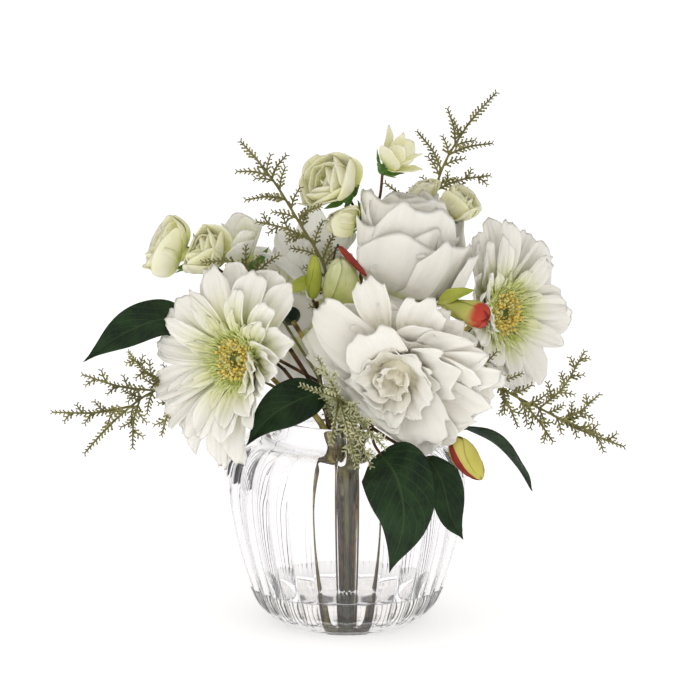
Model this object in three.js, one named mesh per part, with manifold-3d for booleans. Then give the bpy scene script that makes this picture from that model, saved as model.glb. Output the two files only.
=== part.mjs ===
import * as THREE from 'three';
import { mergeVertices } from 'three/addons/utils/BufferGeometryUtils.js';
import Module from 'manifold-3d';

// A floral table centrepiece: white peonies, gerberas, a lily and small roses with dark leaves,
// filigree fern sprays and buds, standing in a ribbed clear glass vase set with clear resin.
// Millimetres, +Z up, origin on the vase's axis in the plane that it stands on. The front is -Y.

const wasm = await Module();
wasm.setup();

const vase = {
  ribs: 32,
  ribDepth: 0.8,
  // Radius and height of the outer wall from the standing ring to the rim, and of the inner wall back down.
  outer: [[39.4, 0], [50.5, 10], [60, 33], [67, 59], [69.2, 79], [66.4, 96], [58.5, 104.7], [44, 109],
    [39.6, 116.5]],
  inner: [[36.8, 116.5], [40.6, 106.4], [56.6, 101.8], [63.4, 94], [66, 79], [56.6, 33], [47, 12], [30, 6.5]],
  floor: 6,
};
const resin = { top: 21.5, heel: 14, bottom: 6.9, gap: 0.45, stemFloor: 8 };
const bundle = { outerRadius: 8.6, innerRadius: 4.3, mainStem: 1.6, thinStem: 1.1 };
const seatGap = 0.35;
// A fern's rib at a frond's root, the spacing of its leaflets, and how far they sweep forward.
const fern = { rib: 0.8, spacing: 9, leaflet: 7.5, sweep: 0.55 };
const petalThickness = 1.1;
const leafThickness = 1.2;

const material = (color, roughness) => new THREE.MeshStandardMaterial({ color, roughness, metalness: 0 });
const clear = (color, opacity) => Object.assign(material(color, 0.05), { transparent: true, opacity });
const colours = {
  glass: clear(0xdfe0e8, 0.4),
  resin: clear(0xe6e8ea, 0.5),
  white: material(0xefece4, 0.75),
  cream: material(0xe9e8bd, 0.75),
  lime: material(0xb7bf5e, 0.6),
  yellow: material(0xd9b83a, 0.7),
  leaf: material(0x1f3d22, 0.55),
  stem: material(0x55603a, 0.6),
  fern: material(0x7c8044, 0.6),
  red: material(0xc2503f, 0.55),
};

const vec = ([x, y, z]) => new THREE.Vector3(x, y, z);
const radians = THREE.MathUtils.degToRad;

// A repeatable random draw from 0 to 1.
function seededDraw(seed) {
  let state = seed >>> 0;
  return () => {
    state = (state + 0x6d2b79f5) >>> 0;
    let mixed = state;
    mixed = Math.imul(mixed ^ (mixed >>> 15), mixed | 1);
    mixed ^= mixed + Math.imul(mixed ^ (mixed >>> 7), mixed | 61);
    return ((mixed ^ (mixed >>> 14)) >>> 0) / 4294967296;
  };
}

function solidOf(geometry) {
  const bare = geometry.clone();
  bare.deleteAttribute('normal');
  bare.deleteAttribute('uv');
  const merged = mergeVertices(bare, 1e-4);
  const corners = merged.index.array;
  const kept = [];
  for (let i = 0; i < corners.length; i += 3) {
    const [a, b, c] = [corners[i], corners[i + 1], corners[i + 2]];
    if (a !== b && b !== c && c !== a) kept.push(a, b, c);
  }
  const vertProperties = new Float32Array(merged.attributes.position.array);
  return new wasm.Manifold(new wasm.Mesh({ numProp: 3, vertProperties, triVerts: new Uint32Array(kept) }));
}

function geometryOf(solid) {
  const { vertProperties, triVerts } = solid.getMesh();
  const geometry = new THREE.BufferGeometry();
  geometry.setAttribute('position', new THREE.BufferAttribute(vertProperties, 3));
  geometry.setIndex(new THREE.BufferAttribute(triVerts, 1));
  return geometry;
}

// Joins closed shapes into one. Slivers and loose scraps that the join leaves are dropped, and a
// hollow that it seals is filled.
const sliver = 0.04;
const join = (shapes) => wasm.Manifold.union(shapes.map(solidOf)).simplify(sliver);
function fuse(shapes) {
  const pieces = join(shapes).decompose();
  const largest = pieces.reduce((a, b) => (a.volume() > b.volume() ? a : b));
  return geometryOf(largest);
}

// A thin petal or leaf: a grid on its middle surface, thickened to both faces and sharp at its rim.
function blade(surface, rows, columns, thickness) {
  const positions = [];
  const faces = [];
  const add = (point) => positions.push(point.x, point.y, point.z) / 3 - 1;
  const step = 0.02;
  const grid = rows.map((s, i) => columns.map((t, j) => {
    const point = surface(s, t);
    const rim = i === 0 || j === 0 || i === rows.length - 1 || j === columns.length - 1;
    if (rim) {
      const shared = add(point);
      return [shared, shared];
    }
    const along = surface(s + step, t).sub(surface(s - step, t));
    const across = surface(s, t + step).sub(surface(s, t - step));
    const offset = along.cross(across).setLength(thickness / 2);
    return [add(point.clone().add(offset)), add(point.clone().sub(offset))];
  }));
  for (let i = 0; i < rows.length - 1; i += 1) {
    for (let j = 0; j < columns.length - 1; j += 1) {
      for (const side of [0, 1]) {
        const [a, b] = [grid[i][j][side], grid[i + 1][j][side]];
        const [c, d] = [grid[i + 1][j + 1][side], grid[i][j + 1][side]];
        const leftHalf = columns[j] < 0;
        const pair = leftHalf ? [[a, b, c], [a, c, d]] : [[b, c, d], [b, d, a]];
        for (const [p, q, r] of pair) faces.push(...(side === 0 ? [p, q, r] : [r, q, p]));
      }
    }
  }
  const geometry = new THREE.BufferGeometry();
  geometry.setAttribute('position', new THREE.BufferAttribute(new Float32Array(positions), 3));
  geometry.setIndex(faces);
  return geometry;
}

// Directions of a bloom: its axis, and two more across it, the second one pointing up.
function bloomFrame(centre, facing) {
  const axis = vec(facing).normalize();
  const up = Math.abs(axis.z) > 0.8 ? new THREE.Vector3(0, 1, 0) : new THREE.Vector3(0, 0, 1);
  const right = up.clone().cross(axis).normalize();
  return { centre: vec(centre), axis, right, up: axis.clone().cross(right) };
}

// A bloom stays on its side of the planes that part it from its neighbours: what comes near a plane
// is pressed flat against it, more softly the further off it is.
const squeezeDepth = 9;
function squeeze(point, limits) {
  for (const { at, away } of limits) {
    const normal = vec(away).normalize();
    const room = normal.dot(vec(at).sub(point)) - (petalThickness + seatGap) / 2;
    if (room < squeezeDepth) {
      const pressed = squeezeDepth * Math.exp((room - squeezeDepth) / squeezeDepth);
      point.addScaledVector(normal, room - pressed);
    }
  }
  return point;
}
const before = (plane) => plane;
const behind = ({ at, away }) => ({ at, away: away.map((value) => -value) });

// Half of a petal's width along its length, as a share of its full width.
function petalHalfWidth(reach, petal) {
  const { widest, neck, tip } = petal;
  if (reach < widest) return 0.5 * (neck + (1 - neck) * Math.sin((Math.PI / 2) * (reach / widest)));
  return 0.5 * (1 - (1 - tip) * ((reach - widest) / (1 - widest)) ** 2);
}

// A petal's middle surface: s runs from root to tip and t from edge to edge. It leaves the bloom's axis
// at tilt0 and bends evenly to tilt1, and it is cupped, waved and notched. One edge lies over the next
// petal of its ring and the other edge under the one before, as the overlap says.
function petalSurface(frame, petal, limits) {
  const radial = frame.right.clone().multiplyScalar(Math.cos(petal.azimuth));
  radial.addScaledVector(frame.up, Math.sin(petal.azimuth));
  const side = frame.axis.clone().cross(radial);
  const bend = petal.tilt1 - petal.tilt0;
  return (s, t) => {
    const cut = petal.point * Math.abs(t) ** 2.2 + petal.notch * (0.5 - 0.5 * Math.cos(5 * t + petal.phase));
    const reach = s * (1 - cut);
    const tilt = petal.tilt0 + bend * reach;
    const out = petal.root + (petal.length * (Math.sin(tilt) - Math.sin(petal.tilt0))) / bend;
    const rise = petal.lift + (petal.length * (Math.cos(petal.tilt0) - Math.cos(tilt))) / bend;
    const x = petal.width * petalHalfWidth(reach, petal) * t;
    const curl = petal.cup * x;
    const ripple = Math.sin(4.5 * t + 5 * reach + petal.phase);
    const waved = petal.wave * reach ** 2 * (0.35 + 0.65 * t * t) * ripple;
    const raised = 0.5 * curl * x + waved + petal.overlap * x;
    const point = frame.centre.clone();
    point.addScaledVector(radial, out - Math.sin(tilt) * raised);
    point.addScaledVector(frame.axis, rise + Math.cos(tilt) * raised);
    point.addScaledVector(side, x * (1 - (curl * curl) / 6) + petal.sway * petal.length * reach ** 2);
    return squeeze(point, limits);
  };
}

// The petals of one bloom, ring by ring from the outside in. Angles are in degrees. Petals toward the
// lean's azimuth stand up more.
function petalsOf(bloom) {
  const draw = seededDraw(bloom.seed);
  const petals = [];
  for (const ring of bloom.rings) {
    for (let i = 0; i < ring.count; i += 1) {
      const spread = () => 2 * draw() - 1;
      const azimuth = (360 * i) / ring.count + ring.turn + ring.jitter * spread() * (60 / ring.count);
      const lean = bloom.lean ?? { azimuth: 0, amount: 0 };
      const facing = Math.max(0, Math.cos(radians(azimuth - lean.azimuth)));
      const raisedBy = (ring.lean ?? 1) * lean.amount * facing * facing + 1.5 * ring.jitter * spread();
      petals.push({
        azimuth: radians(azimuth),
        root: ring.root,
        lift: ring.lift,
        length: ring.length * (1 + 0.09 * ring.jitter * spread()),
        width: ring.width * (1 + 0.1 * ring.jitter * spread()),
        tilt0: radians(ring.tilt0 + raisedBy),
        tilt1: radians(ring.tilt1 + raisedBy + 1.5 * ring.jitter * spread()),
        cup: ring.cup,
        overlap: ring.overlap,
        sway: 0.1 * ring.jitter * spread(),
        wave: ring.wave,
        phase: 6.28 * draw(),
        notch: ring.notch,
        point: ring.point * (1 + 0.5 * ring.jitter * spread()),
        widest: ring.widest,
        neck: ring.neck,
        tip: ring.tip,
        rows: ring.rows,
        columns: ring.columns,
      });
    }
  }
  return petals;
}

const rowsShort = [0, 0.5, 1];
const rowsPlain = [0, 0.34, 0.7, 1];
const rowsLong = [0, 0.25, 0.5, 0.77, 1];
const columnsPlain = [-1, 0, 1];
const columnsWide = [-1, -0.45, 0.45, 1];

function bloomPetals(bloom, core) {
  const frame = bloomFrame(bloom.centre, bloom.facing);
  const blades = petalsOf(bloom).map((petal) => {
    const surface = petalSurface(frame, petal, bloom.limits ?? []);
    return blade(surface, petal.rows, petal.columns, petalThickness);
  });
  return fuse([placed(core, frame), ...blades]);
}

// Puts a shape that stands on +Z at a bloom's place, turned to its axis.
function placed(geometry, frame) {
  const basis = new THREE.Matrix4().makeBasis(frame.right, frame.up, frame.axis);
  return geometry.clone().applyMatrix4(basis.setPosition(frame.centre));
}

// A ring or dome turned about +Z from radius and height pairs.
function turned(profile, segments) {
  return new THREE.LatheGeometry(profile.map(([r, z]) => new THREE.Vector2(r, z)), segments)
    .rotateX(Math.PI / 2);
}

// Which of a turned shape's segments a point of it starts.
const segmentOf = (x, y, segments) => Math.round((Math.atan2(x, -y) * segments) / (2 * Math.PI));

// A round stem along a smooth line through the points.
function stem(points, radius, steps, sides = 6) {
  const outline = new THREE.Shape();
  for (let i = 0; i < sides; i += 1) {
    const angle = (2 * Math.PI * i) / sides;
    const [x, y] = [radius * Math.cos(angle), radius * Math.sin(angle)];
    if (i === 0) outline.moveTo(x, y);
    else outline.lineTo(x, y);
  }
  const path = new THREE.CatmullRomCurve3(points.map(vec), false, 'centripetal');
  return new THREE.ExtrudeGeometry(outline, { steps, extrudePath: path, bevelEnabled: false });
}

// Where a stem stands in the bundle: the foot in the resin and the place where it leaves the neck.
function inBundle(radius, degrees, spreadAtNeck) {
  const [c, s] = [Math.cos(radians(degrees)), Math.sin(radians(degrees))];
  return [
    [radius * c, radius * s, resin.stemFloor],
    [radius * c, radius * s, 62],
    [spreadAtNeck * c, spreadAtNeck * s, 112],
  ];
}

// A leaf's middle surface along a bent midrib, folded a little along it, with waved edges.
function leafSurface(leaf) {
  const rib = new THREE.CatmullRomCurve3(leaf.rib.map(vec), false, 'centripetal');
  const facing = vec(leaf.facing).normalize();
  return (s, t) => {
    const at = Math.min(1, Math.max(0, s));
    const along = rib.getTangent(at);
    const side = along.clone().cross(facing).normalize();
    const normal = side.clone().cross(along);
    const swell = Math.sin(Math.PI * at ** 0.75) ** 0.8;
    const half = 0.5 * leaf.width * (0.06 + 0.94 * swell) * (1 - at ** 6);
    const x = half * t;
    const waved = leaf.wave * swell * t * t * Math.sin(9 * at + 2 * t + leaf.phase);
    const point = rib.getPoint(at).addScaledVector(side, x * Math.cos(leaf.fold));
    return point.addScaledVector(normal, Math.abs(x) * Math.sin(leaf.fold) + waved);
  };
}
const leafRows = [0, 0.2, 0.42, 0.66, 0.87, 1];
const leafBlade = (leaf) => blade(leafSurface(leaf), leafRows, columnsPlain, leafThickness);

// A pointed bud: a turned spindle on its own axis, of few sides.
const pointedBud = [[0, 0], [0.55, 0.1], [1, 0.38], [0.8, 0.7], [0.3, 0.93], [0, 1]];
const bluntBud = [[0, 0], [0.45, 0.12], [0.8, 0.5], [1, 0.76], [0.72, 0.94], [0, 1]];
function bud({ centre, tip, radius, sides = 7, profile = pointedBud }) {
  const [from, to] = [vec(centre), vec(tip)];
  const length = from.distanceTo(to);
  const shape = turned(profile.map(([r, z]) => [r * radius, z * length]), sides);
  return placed(shape, bloomFrame(centre, to.sub(from).toArray()));
}

// A fern frond: a slim rib along the points with pointed leaflets cut to it on both sides, in one
// thin shape whose leaflets lie across "facing" and sweep toward its tip.
function frond(points, facing, leafletLength) {
  const rib = new THREE.CatmullRomCurve3(points, false, 'centripetal');
  const count = Math.max(2, Math.round(rib.getLength() / fern.spacing));
  const positions = [];
  const faces = [];
  const add = (point, ...offsets) => {
    const sum = point.clone();
    for (const offset of offsets) sum.add(offset);
    return positions.push(sum.x, sum.y, sum.z) / 3 - 1;
  };
  const at = (u) => {
    const along = rib.getTangentAt(u);
    const side = facing.clone().cross(along).normalize();
    return { point: rib.getPointAt(u), along, side, normal: along.clone().cross(side) };
  };
  const stations = [];
  for (let k = 0; k <= count; k += 1) {
    const u = k / (count + 0.6);
    const { point, side, normal } = at(u);
    const half = fern.rib * (1 - 0.5 * u);
    stations.push({
      top: add(point, normal.clone().multiplyScalar(half)),
      left: add(point, side.clone().multiplyScalar(half)),
      bottom: add(point, normal.clone().multiplyScalar(-half)),
      right: add(point, side.clone().multiplyScalar(-half)),
    });
  }
  for (let k = 0; k < count; k += 1) {
    const [from, to] = [stations[k], stations[k + 1]];
    const u = (k + 0.5) / (count + 0.6);
    const { point, along, side } = at(u);
    const reach = leafletLength * (1 - 0.55 * u) * (k === 0 ? 0.8 : 1);
    const sweep = along.multiplyScalar(fern.sweep * reach);
    const left = add(point, sweep, side.clone().multiplyScalar(reach));
    const right = add(point, sweep, side.clone().multiplyScalar(-reach));
    faces.push(from.top, left, from.left, from.top, to.top, left, left, to.top, to.left);
    faces.push(from.bottom, from.left, left, from.bottom, left, to.bottom, left, to.left, to.bottom);
    faces.push(from.top, from.right, right, from.top, right, to.top, right, to.right, to.top);
    faces.push(from.bottom, right, from.right, from.bottom, to.bottom, right, right, to.bottom, to.right);
  }
  const tip = add(rib.getPointAt(1));
  const [first, last] = [stations[0], stations[count]];
  faces.push(first.top, first.left, first.bottom, first.top, first.bottom, first.right);
  faces.push(last.top, tip, last.left, last.left, tip, last.bottom);
  faces.push(last.bottom, tip, last.right, last.right, tip, last.top);
  const geometry = new THREE.BufferGeometry();
  geometry.setAttribute('position', new THREE.BufferAttribute(new Float32Array(positions), 3));
  geometry.setIndex(faces);
  return geometry;
}

const meshes = [];
function addNode(name, geometry, colour) {
  const mesh = new THREE.Mesh(geometry, colour);
  mesh.name = name;
  meshes.push(mesh);
}

// The vase: a turned body whose outside swells and dips in ribs between collar and foot, with a smooth
// hollow cut out of it.
function makeVase() {
  const { outer, inner, floor, ribs, ribDepth } = vase;
  const top = outer[outer.length - 1][1];
  const body = turned([[0, 0], ...outer, [0, top]], 2 * ribs);
  const position = body.attributes.position;
  const ribbed = outer.slice(1, 7).map(([, z]) => z);
  const point = new THREE.Vector3();
  for (let i = 0; i < position.count; i += 1) {
    point.fromBufferAttribute(position, i);
    const turn = segmentOf(point.x, point.y, 2 * ribs);
    if (turn % 2 === 0 || !ribbed.some((z) => Math.abs(z - point.z) < 0.01)) continue;
    const scale = 1 - ribDepth / Math.hypot(point.x, point.y);
    position.setXY(i, point.x * scale, point.y * scale);
  }
  const mouth = [inner[0][0], top + 5];
  const hollow = turned([[0, mouth[1]], mouth, ...inner.slice(1), [0, floor]].reverse(), ribs);
  addNode('vase', geometryOf(solidOf(body).subtract(solidOf(hollow)).simplify(sliver)), colours.glass);
}

// The inner wall's radius at a height.
function innerRadius(height) {
  const wall = vase.inner;
  for (let i = 0; i < wall.length - 1; i += 1) {
    const [[r1, z1], [r0, z0]] = [wall[i], wall[i + 1]];
    if (height <= z1 && height >= z0) return r0 + ((r1 - r0) * (height - z0)) / (z1 - z0);
  }
  return wall[wall.length - 1][0];
}

const feet = [];
function makeResin() {
  const { top, heel, bottom, gap } = resin;
  const edge = (z) => [innerRadius(z) - 2 * gap, z];
  const pool = solidOf(turned([[0, bottom], [29, bottom + 0.4], edge(heel), edge(top), [0, top]], 24));
  const sides = 6;
  const holes = feet.map(({ x, y, radius }) => {
    const around = (radius + gap) / Math.cos(Math.PI / sides);
    const hole = new THREE.CylinderGeometry(around, around, top, sides);
    return hole.rotateX(Math.PI / 2).translate(x, y, resin.stemFloor - gap + top / 2);
  });
  addNode('water', geometryOf(pool.subtract(join(holes)).simplify(sliver)), colours.resin);
}

// A stem that stands in the bundle, remembered for its hole in the resin.
function bundledStem(slot, path, radius, steps, sides) {
  const points = [...inBundle(slot.radius, slot.degrees, slot.neck), ...path];
  feet.push({ x: points[0][0], y: points[0][1], radius });
  return stem(points, radius, steps, sides);
}
const outerSlot = (degrees, neck = 15) => ({ radius: bundle.outerRadius, degrees, neck });
const innerSlot = (degrees, neck = 9) => ({ radius: bundle.innerRadius, degrees, neck });

// Planes between neighbouring blooms. "away" points from the first bloom to the second.
const gerberaLeftToPeony = { at: [-22, -60, 155], away: [0.95, 0.3, 0] };
const peonyToTopPeony = { at: [30, -36, 190.5], away: [0.34, 0.38, 0.86] };
const topPeonyFromPeony = { at: [30, -36, 193.8], away: [0.34, 0.38, 0.86] };
const peonyToGerberaRight = { at: [60, -17.5, 167], away: [0.685, 0.65, 0.325] };
const topPeonyToGerberaRight = { at: [56, 4, 195], away: [0.61, 0.61, -0.51] };
const gerberaLeftToLily = { at: [-39, -20, 184.6], away: [0.5, 0.61, 0.61] };
const lilyToTopPeony = { at: [4, -6, 208], away: [0.95, -0.26, 0.1] };
const peonyToVase = { at: [0, -75, 104.5], away: [0, 0.43, -0.9] };
const peonyToFern = { at: [-3.3, -49.6, 143], away: [-0.7, -0.35, -0.62] };
const peonyToRedBud = { at: [63, -54, 180], away: [0.35, -0.1, 0.93] };
const peonyToLowBud = { at: [60, -62, 118], away: [0.6, 0.2, -0.77] };
const peonyToGreenBud = { at: [-3, -38, 182], away: [-0.2, 0.8, 0.56] };
const gerberaRightToFern = { at: [76, -26, 154], away: [-0.5, -0.3, -0.8] };
const roseToBud = { at: [-4, -1, 237.5], away: [0.3, -0.2, -0.93] };
const lilyToRose = { at: [-50, 3, 209], away: [-0.9, 0.2, 0.35] };
const roseToFarLeft = { at: [-88.5, 3, 209], away: [-0.9, 0.35, 0.2] };
const roseToHigh = { at: [51.5, 22, 238], away: [-0.8, 0.3, 0.45] };
const lilyFront = { at: [0, -2, 200], away: [0, -1, 0] };
const backFront = { at: [0, 33, 160], away: [0, -1, 0] };

const plain = { rows: rowsPlain, columns: columnsPlain };
const strap = { ...plain, widest: 0.64, neck: 0.32, notch: 0.02, overlap: 0.17 };
function gerberaRings(reach, counts) {
  return [
    { ...strap, count: counts[0], turn: 0, jitter: 0.7, root: 12, lift: -4.4, length: reach - 11,
      width: 4.6 * reach / counts[0], tilt0: 7, tilt1: -8, cup: 0.03, wave: 0.8, point: 0.1, tip: 0.68 },
    { ...strap, count: counts[1], turn: 15, jitter: 0.7, root: 12, lift: -1.6, length: reach - 15,
      width: 3.5 * reach / counts[1], tilt0: 26, tilt1: 5, cup: 0.035, wave: 0.8, point: 0.12, tip: 0.6 },
    { ...strap, count: counts[2], turn: 5, jitter: 0.7, root: 12.8, lift: -1, length: 0.42 * reach,
      width: 11,
      tilt0: 48, tilt1: 30, lean: 0.5, cup: 0.05, wave: 0.5, point: 0.2, tip: 0.5, rows: rowsShort },
  ];
}

// The gerbera's eye: a green fringed ring, and a ring of yellow stamens round a hole in its middle.
// Every second point of a crest stands up, as the tip of a floret.
function fringed(profile, crests, segments, height) {
  const ring = turned(profile, segments);
  const position = ring.attributes.position;
  const point = new THREE.Vector3();
  for (let i = 0; i < position.count; i += 1) {
    point.fromBufferAttribute(position, i);
    const turn = segmentOf(point.x, point.y, segments);
    const radius = Math.hypot(point.x, point.y);
    const crest = crests.findIndex((index) => {
      const [r, z] = profile[index];
      return Math.abs(radius - r) < 0.01 && Math.abs(point.z - z) < 0.01;
    });
    if (crest >= 0 && (turn + crest + segments) % 2 === 0) position.setZ(i, point.z + height);
  }
  return ring;
}
const greenRing = [[5.2, 0.5], [11.6, 0.5], [15.4, 4.2], [11.4, 3], [5.2, 2.2], [5.2, 0.5]];
const stamenRing = [[5.6, 3.4], [10.4, 3.8], [9.6, 5.4], [6.8, 5], [5.6, 3.4]];
function gerberaEye(name, frame) {
  const green = fringed(greenRing, [2], 16, 3);
  const stamens = fringed(stamenRing, [1, 2], 12, 2.4);
  addNode(`${name}_eye`, placed(fuse([green]), frame), colours.lime);
  addNode(`${name}_stamens`, placed(fuse([stamens]), frame), colours.yellow);
}

const gerberaCore = turned([[0, -6], [12, -6], [17, -3], [15.5, 0], [0, 0]], 11);

// A place on a bloom's axis below its centre, and the green cone that carries the bloom there.
const below = (bloom, depth) => {
  const frame = bloomFrame(bloom.centre, bloom.facing);
  return frame.centre.clone().addScaledVector(frame.axis, -depth).toArray();
};
function calyxUnder(bloom, radius, depth) {
  const cone = [[0, -depth - radius], [0.35 * radius, -depth - 0.95 * radius], [radius, -depth], [0, -depth]];
  return placed(turned(cone, 7), bloomFrame(bloom.centre, bloom.facing));
}

function gerbera(name, bloom, slot, path) {
  const frame = bloomFrame(bloom.centre, bloom.facing);
  addNode(`${name}_petals`, bloomPetals(bloom, gerberaCore), colours.white);
  gerberaEye(name, frame);
  const stalk = bundledStem(slot, [...path, below(bloom, 13)], bundle.mainStem, 8, 5);
  addNode(`${name}_stem`, fuse([stalk, calyxUnder(bloom, 9.5, 6 + seatGap)]), colours.stem);
}

const blooms = {
  gerberaLeft: {
    centre: [-60, -46, 159], facing: [-0.63, -0.76, 0.1], seed: 11, rings: gerberaRings(58, [12, 8, 6]),
    lean: { azimuth: 0, amount: 24 }, limits: [before(gerberaLeftToPeony), before(gerberaLeftToLily)],
  },
  gerberaRight: {
    centre: [87, 8, 175], facing: [0.68, -0.73, 0.07], seed: 12, rings: gerberaRings(53, [11, 7, 5]),
    lean: { azimuth: 180, amount: 22 },
    limits: [behind(peonyToGerberaRight), behind(topPeonyToGerberaRight), before(gerberaRightToFern)],
  },
  gerberaBack: {
    centre: [-34, 50, 168], facing: [-0.25, 0.93, 0.26], seed: 13, rings: gerberaRings(50, [9, 6, 0]),
    limits: [before(backFront)],
  },
};

const petal = { ...plain, widest: 0.62, neck: 0.26, overlap: 0.14 };
const peonyFront = {
  centre: [29, -36, 153], facing: [-0.16, -0.97, -0.13], seed: 21,
  lean: { azimuth: -90, amount: 10 },
  limits: [behind(gerberaLeftToPeony), before(peonyToTopPeony), before(peonyToGerberaRight),
    before(peonyToVase), before(peonyToFern), before(peonyToRedBud), before(peonyToLowBud),
    before(peonyToGreenBud)],
  rings: [
    { ...petal, count: 6, turn: 20, jitter: 0.8, root: 9, lift: -4, length: 58, width: 56,
      tilt0: 36, tilt1: -14, cup: 0.008, wave: 3.5, notch: 0.07, point: 0.12, tip: 0.82, columns: columnsWide },
    { ...petal, count: 5, turn: 46, jitter: 0.8, root: 9, lift: 2, length: 49, width: 46,
      tilt0: 52, tilt1: 8, cup: 0.014, wave: 3, notch: 0.07, point: 0.12, tip: 0.8, columns: columnsWide },
    { ...petal, count: 5, turn: 10, jitter: 0.8, root: 9, lift: 7, length: 40, width: 30,
      tilt0: 66, tilt1: 32, cup: 0.022, wave: 2.4, notch: 0.07, point: 0.12, tip: 0.78 },
    { ...petal, count: 4, turn: 35, jitter: 0.8, root: 6.5, lift: 10, length: 31, width: 24,
      tilt0: 76, tilt1: 54, cup: 0.035, wave: 2, notch: 0.05, point: 0.16, tip: 0.7 },
    { ...petal, count: 3, turn: 5, jitter: 0.8, root: 3, lift: 13, length: 21, width: 14,
      tilt0: 84, tilt1: 74, cup: 0.05, wave: 1.2, notch: 0.04, point: 0.2, tip: 0.55, rows: rowsShort },
  ],
};
const peonyFrontCore = turned([[0, -7], [9, -6.4], [14.5, -1], [13.5, 7], [8.5, 13.5], [0, 16]], 9);
const peonyTop = {
  centre: [24, -3, 184], facing: [0.36, -0.34, 0.87], seed: 22,
  limits: [behind(topPeonyFromPeony), before(topPeonyToGerberaRight), behind(lilyToTopPeony)],
  rings: [
    { ...petal, count: 5, turn: 10, jitter: 0.7, root: 8, lift: 0, length: 60, width: 48,
      tilt0: 22, tilt1: 108, cup: 0.03, wave: 1.5, notch: 0.04, point: 0.12, tip: 0.85, rows: rowsLong },
    { ...petal, count: 4, turn: 46, jitter: 0.7, root: 8, lift: 4, length: 58, width: 40,
      tilt0: 36, tilt1: 116, cup: 0.03, wave: 1.5, notch: 0.05, point: 0.12, tip: 0.85, rows: rowsLong },
    { ...petal, count: 4, turn: 20, jitter: 0.7, root: 8, lift: 9, length: 46, width: 30,
      tilt0: 58, tilt1: 118, cup: 0.035, wave: 2, notch: 0.05, point: 0.16, tip: 0.75 },
  ],
};
const peonyTopCore = turned([[0, -5], [8, -2], [13, 8], [15, 22], [10, 36], [0, 42]], 7);
const lily = {
  centre: [-18, 12, 186], facing: [-0.12, -0.2, 0.97], seed: 31,
  limits: [behind(gerberaLeftToLily), before(lilyToTopPeony), before(lilyFront), before(lilyToRose)],
  rings: [
    { ...petal, count: 3, turn: 80, jitter: 0.6, root: 3, lift: 0, length: 54, width: 26,
      tilt0: 62, tilt1: 22, cup: 0.03, wave: 1, notch: 0, point: 0.3, tip: 0.35, widest: 0.5 },
    { ...petal, count: 3, turn: 20, jitter: 0.6, root: 2.5, lift: 1, length: 52, width: 30,
      tilt0: 72, tilt1: 34, cup: 0.035, wave: 1, notch: 0, point: 0.3, tip: 0.35, widest: 0.5 },
  ],
};

// A small rose: an outer and an inner ring of cupped petals, opened by the given share, round a bud.
function roseRings({ size, open, rows = rowsShort }) {
  const shape = { notch: 0.03, wave: 0.04 * size, widest: 0.6, neck: 0.25, overlap: 0.2 };
  const cupped = { ...petal, ...shape, jitter: 0.6 };
  return [
    { ...cupped, count: 3, turn: 0, root: 0.22 * size, lift: -0.05 * size, length: 1.8 * size,
      width: 1.9 * size,
      tilt0: 16, tilt1: 106 - 70 * open, cup: 0.75 / size, point: 0.14, tip: 0.8, rows },
    { ...cupped, count: 3, turn: 60, root: 0.24 * size, lift: 0.12 * size, length: 1.6 * size,
      width: 1.5 * size, tilt0: 40, tilt1: 110 - 50 * open, cup: 0.8 / size, point: 0.14, tip: 0.75,
      rows: rowsShort },
  ];
}
function roseHeart(size) {
  const profile = [[0, seatGap - 0.28 * size], [0.36 * size, 0], [0.34 * size, 0.8 * size], [0, 1.2 * size]];
  return turned(profile, 5);
}
const lilyCore = turned([[0, -5], [5, -2], [6, 5], [0, 8]], 6);

const roses = {
  rose_large: { centre: [-1, 6, 246], facing: [-0.86, -0.34, 0.38], seed: 41, size: 16, open: 0.35,
    rows: rowsPlain, limits: [before(roseToBud)] },
  rose_bud: { centre: [6, -2, 228], facing: [-0.85, -0.3, 0.3], seed: 42, size: 9.5, open: 0,
    limits: [behind(roseToBud)] },
  rose_tip: { centre: [23, 3, 260], facing: [0.72, -0.3, 0.62], seed: 43, size: 9, open: 0.75 },
  rose_left: { centre: [-77, 1, 206], facing: [-0.45, -0.6, 0.66], seed: 44, size: 11, open: 0.6,
    rows: rowsPlain, limits: [before(roseToFarLeft)] },
  rose_far_left: { centre: [-91, 8, 208], facing: [-0.85, -0.1, 0.45], seed: 45, size: 12, open: 0.8,
    rows: rowsPlain, limits: [behind(roseToFarLeft)] },
  rose_bell: { centre: [-56, 8, 206], facing: [-0.22, -0.3, 0.93], seed: 46, size: 13, open: 0.15,
    limits: [behind(lilyToRose)] },
  rose_right: { centre: [58, 21, 230], facing: [0.55, -0.25, 0.8], seed: 47, size: 9.5, open: 0.45,
    limits: [before(roseToHigh)] },
  rose_high: { centre: [46, 26, 235], facing: [-0.2, -0.1, 1], seed: 48, size: 7.5, open: 0.3,
    limits: [behind(roseToHigh)] },
};

// A green calyx under a rose: a shallow cup drawn out into pointed sepals.
const sepalCount = 3;
const calyxRim = 3;
function sepals(spec, size) {
  const outline = [[0, -0.6], [0.2, -0.5], [0.44, -0.36], [0.78, -0.02], [0.38, -0.24], [0, -0.28]];
  const cup = turned(outline.map(([r, z]) => [r * size, z * size]), 2 * sepalCount);
  const position = cup.attributes.position;
  const [rimRadius, rimHeight] = outline[calyxRim].map((value) => value * size);
  for (let i = 0; i < position.count; i += 1) {
    const radius = Math.hypot(position.getX(i), position.getY(i));
    const onRim = Math.abs(radius - rimRadius) < 0.01 && Math.abs(position.getZ(i) - rimHeight) < 0.01;
    const turn = segmentOf(position.getX(i), position.getY(i), 2 * sepalCount);
    if (!onRim || turn % 2 === 0) continue;
    const scale = 0.5 / 0.78;
    position.setXYZ(i, position.getX(i) * scale, position.getY(i) * scale, -0.24 * size);
  }
  return placed(cup, bloomFrame(spec.centre, spec.facing));
}
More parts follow.
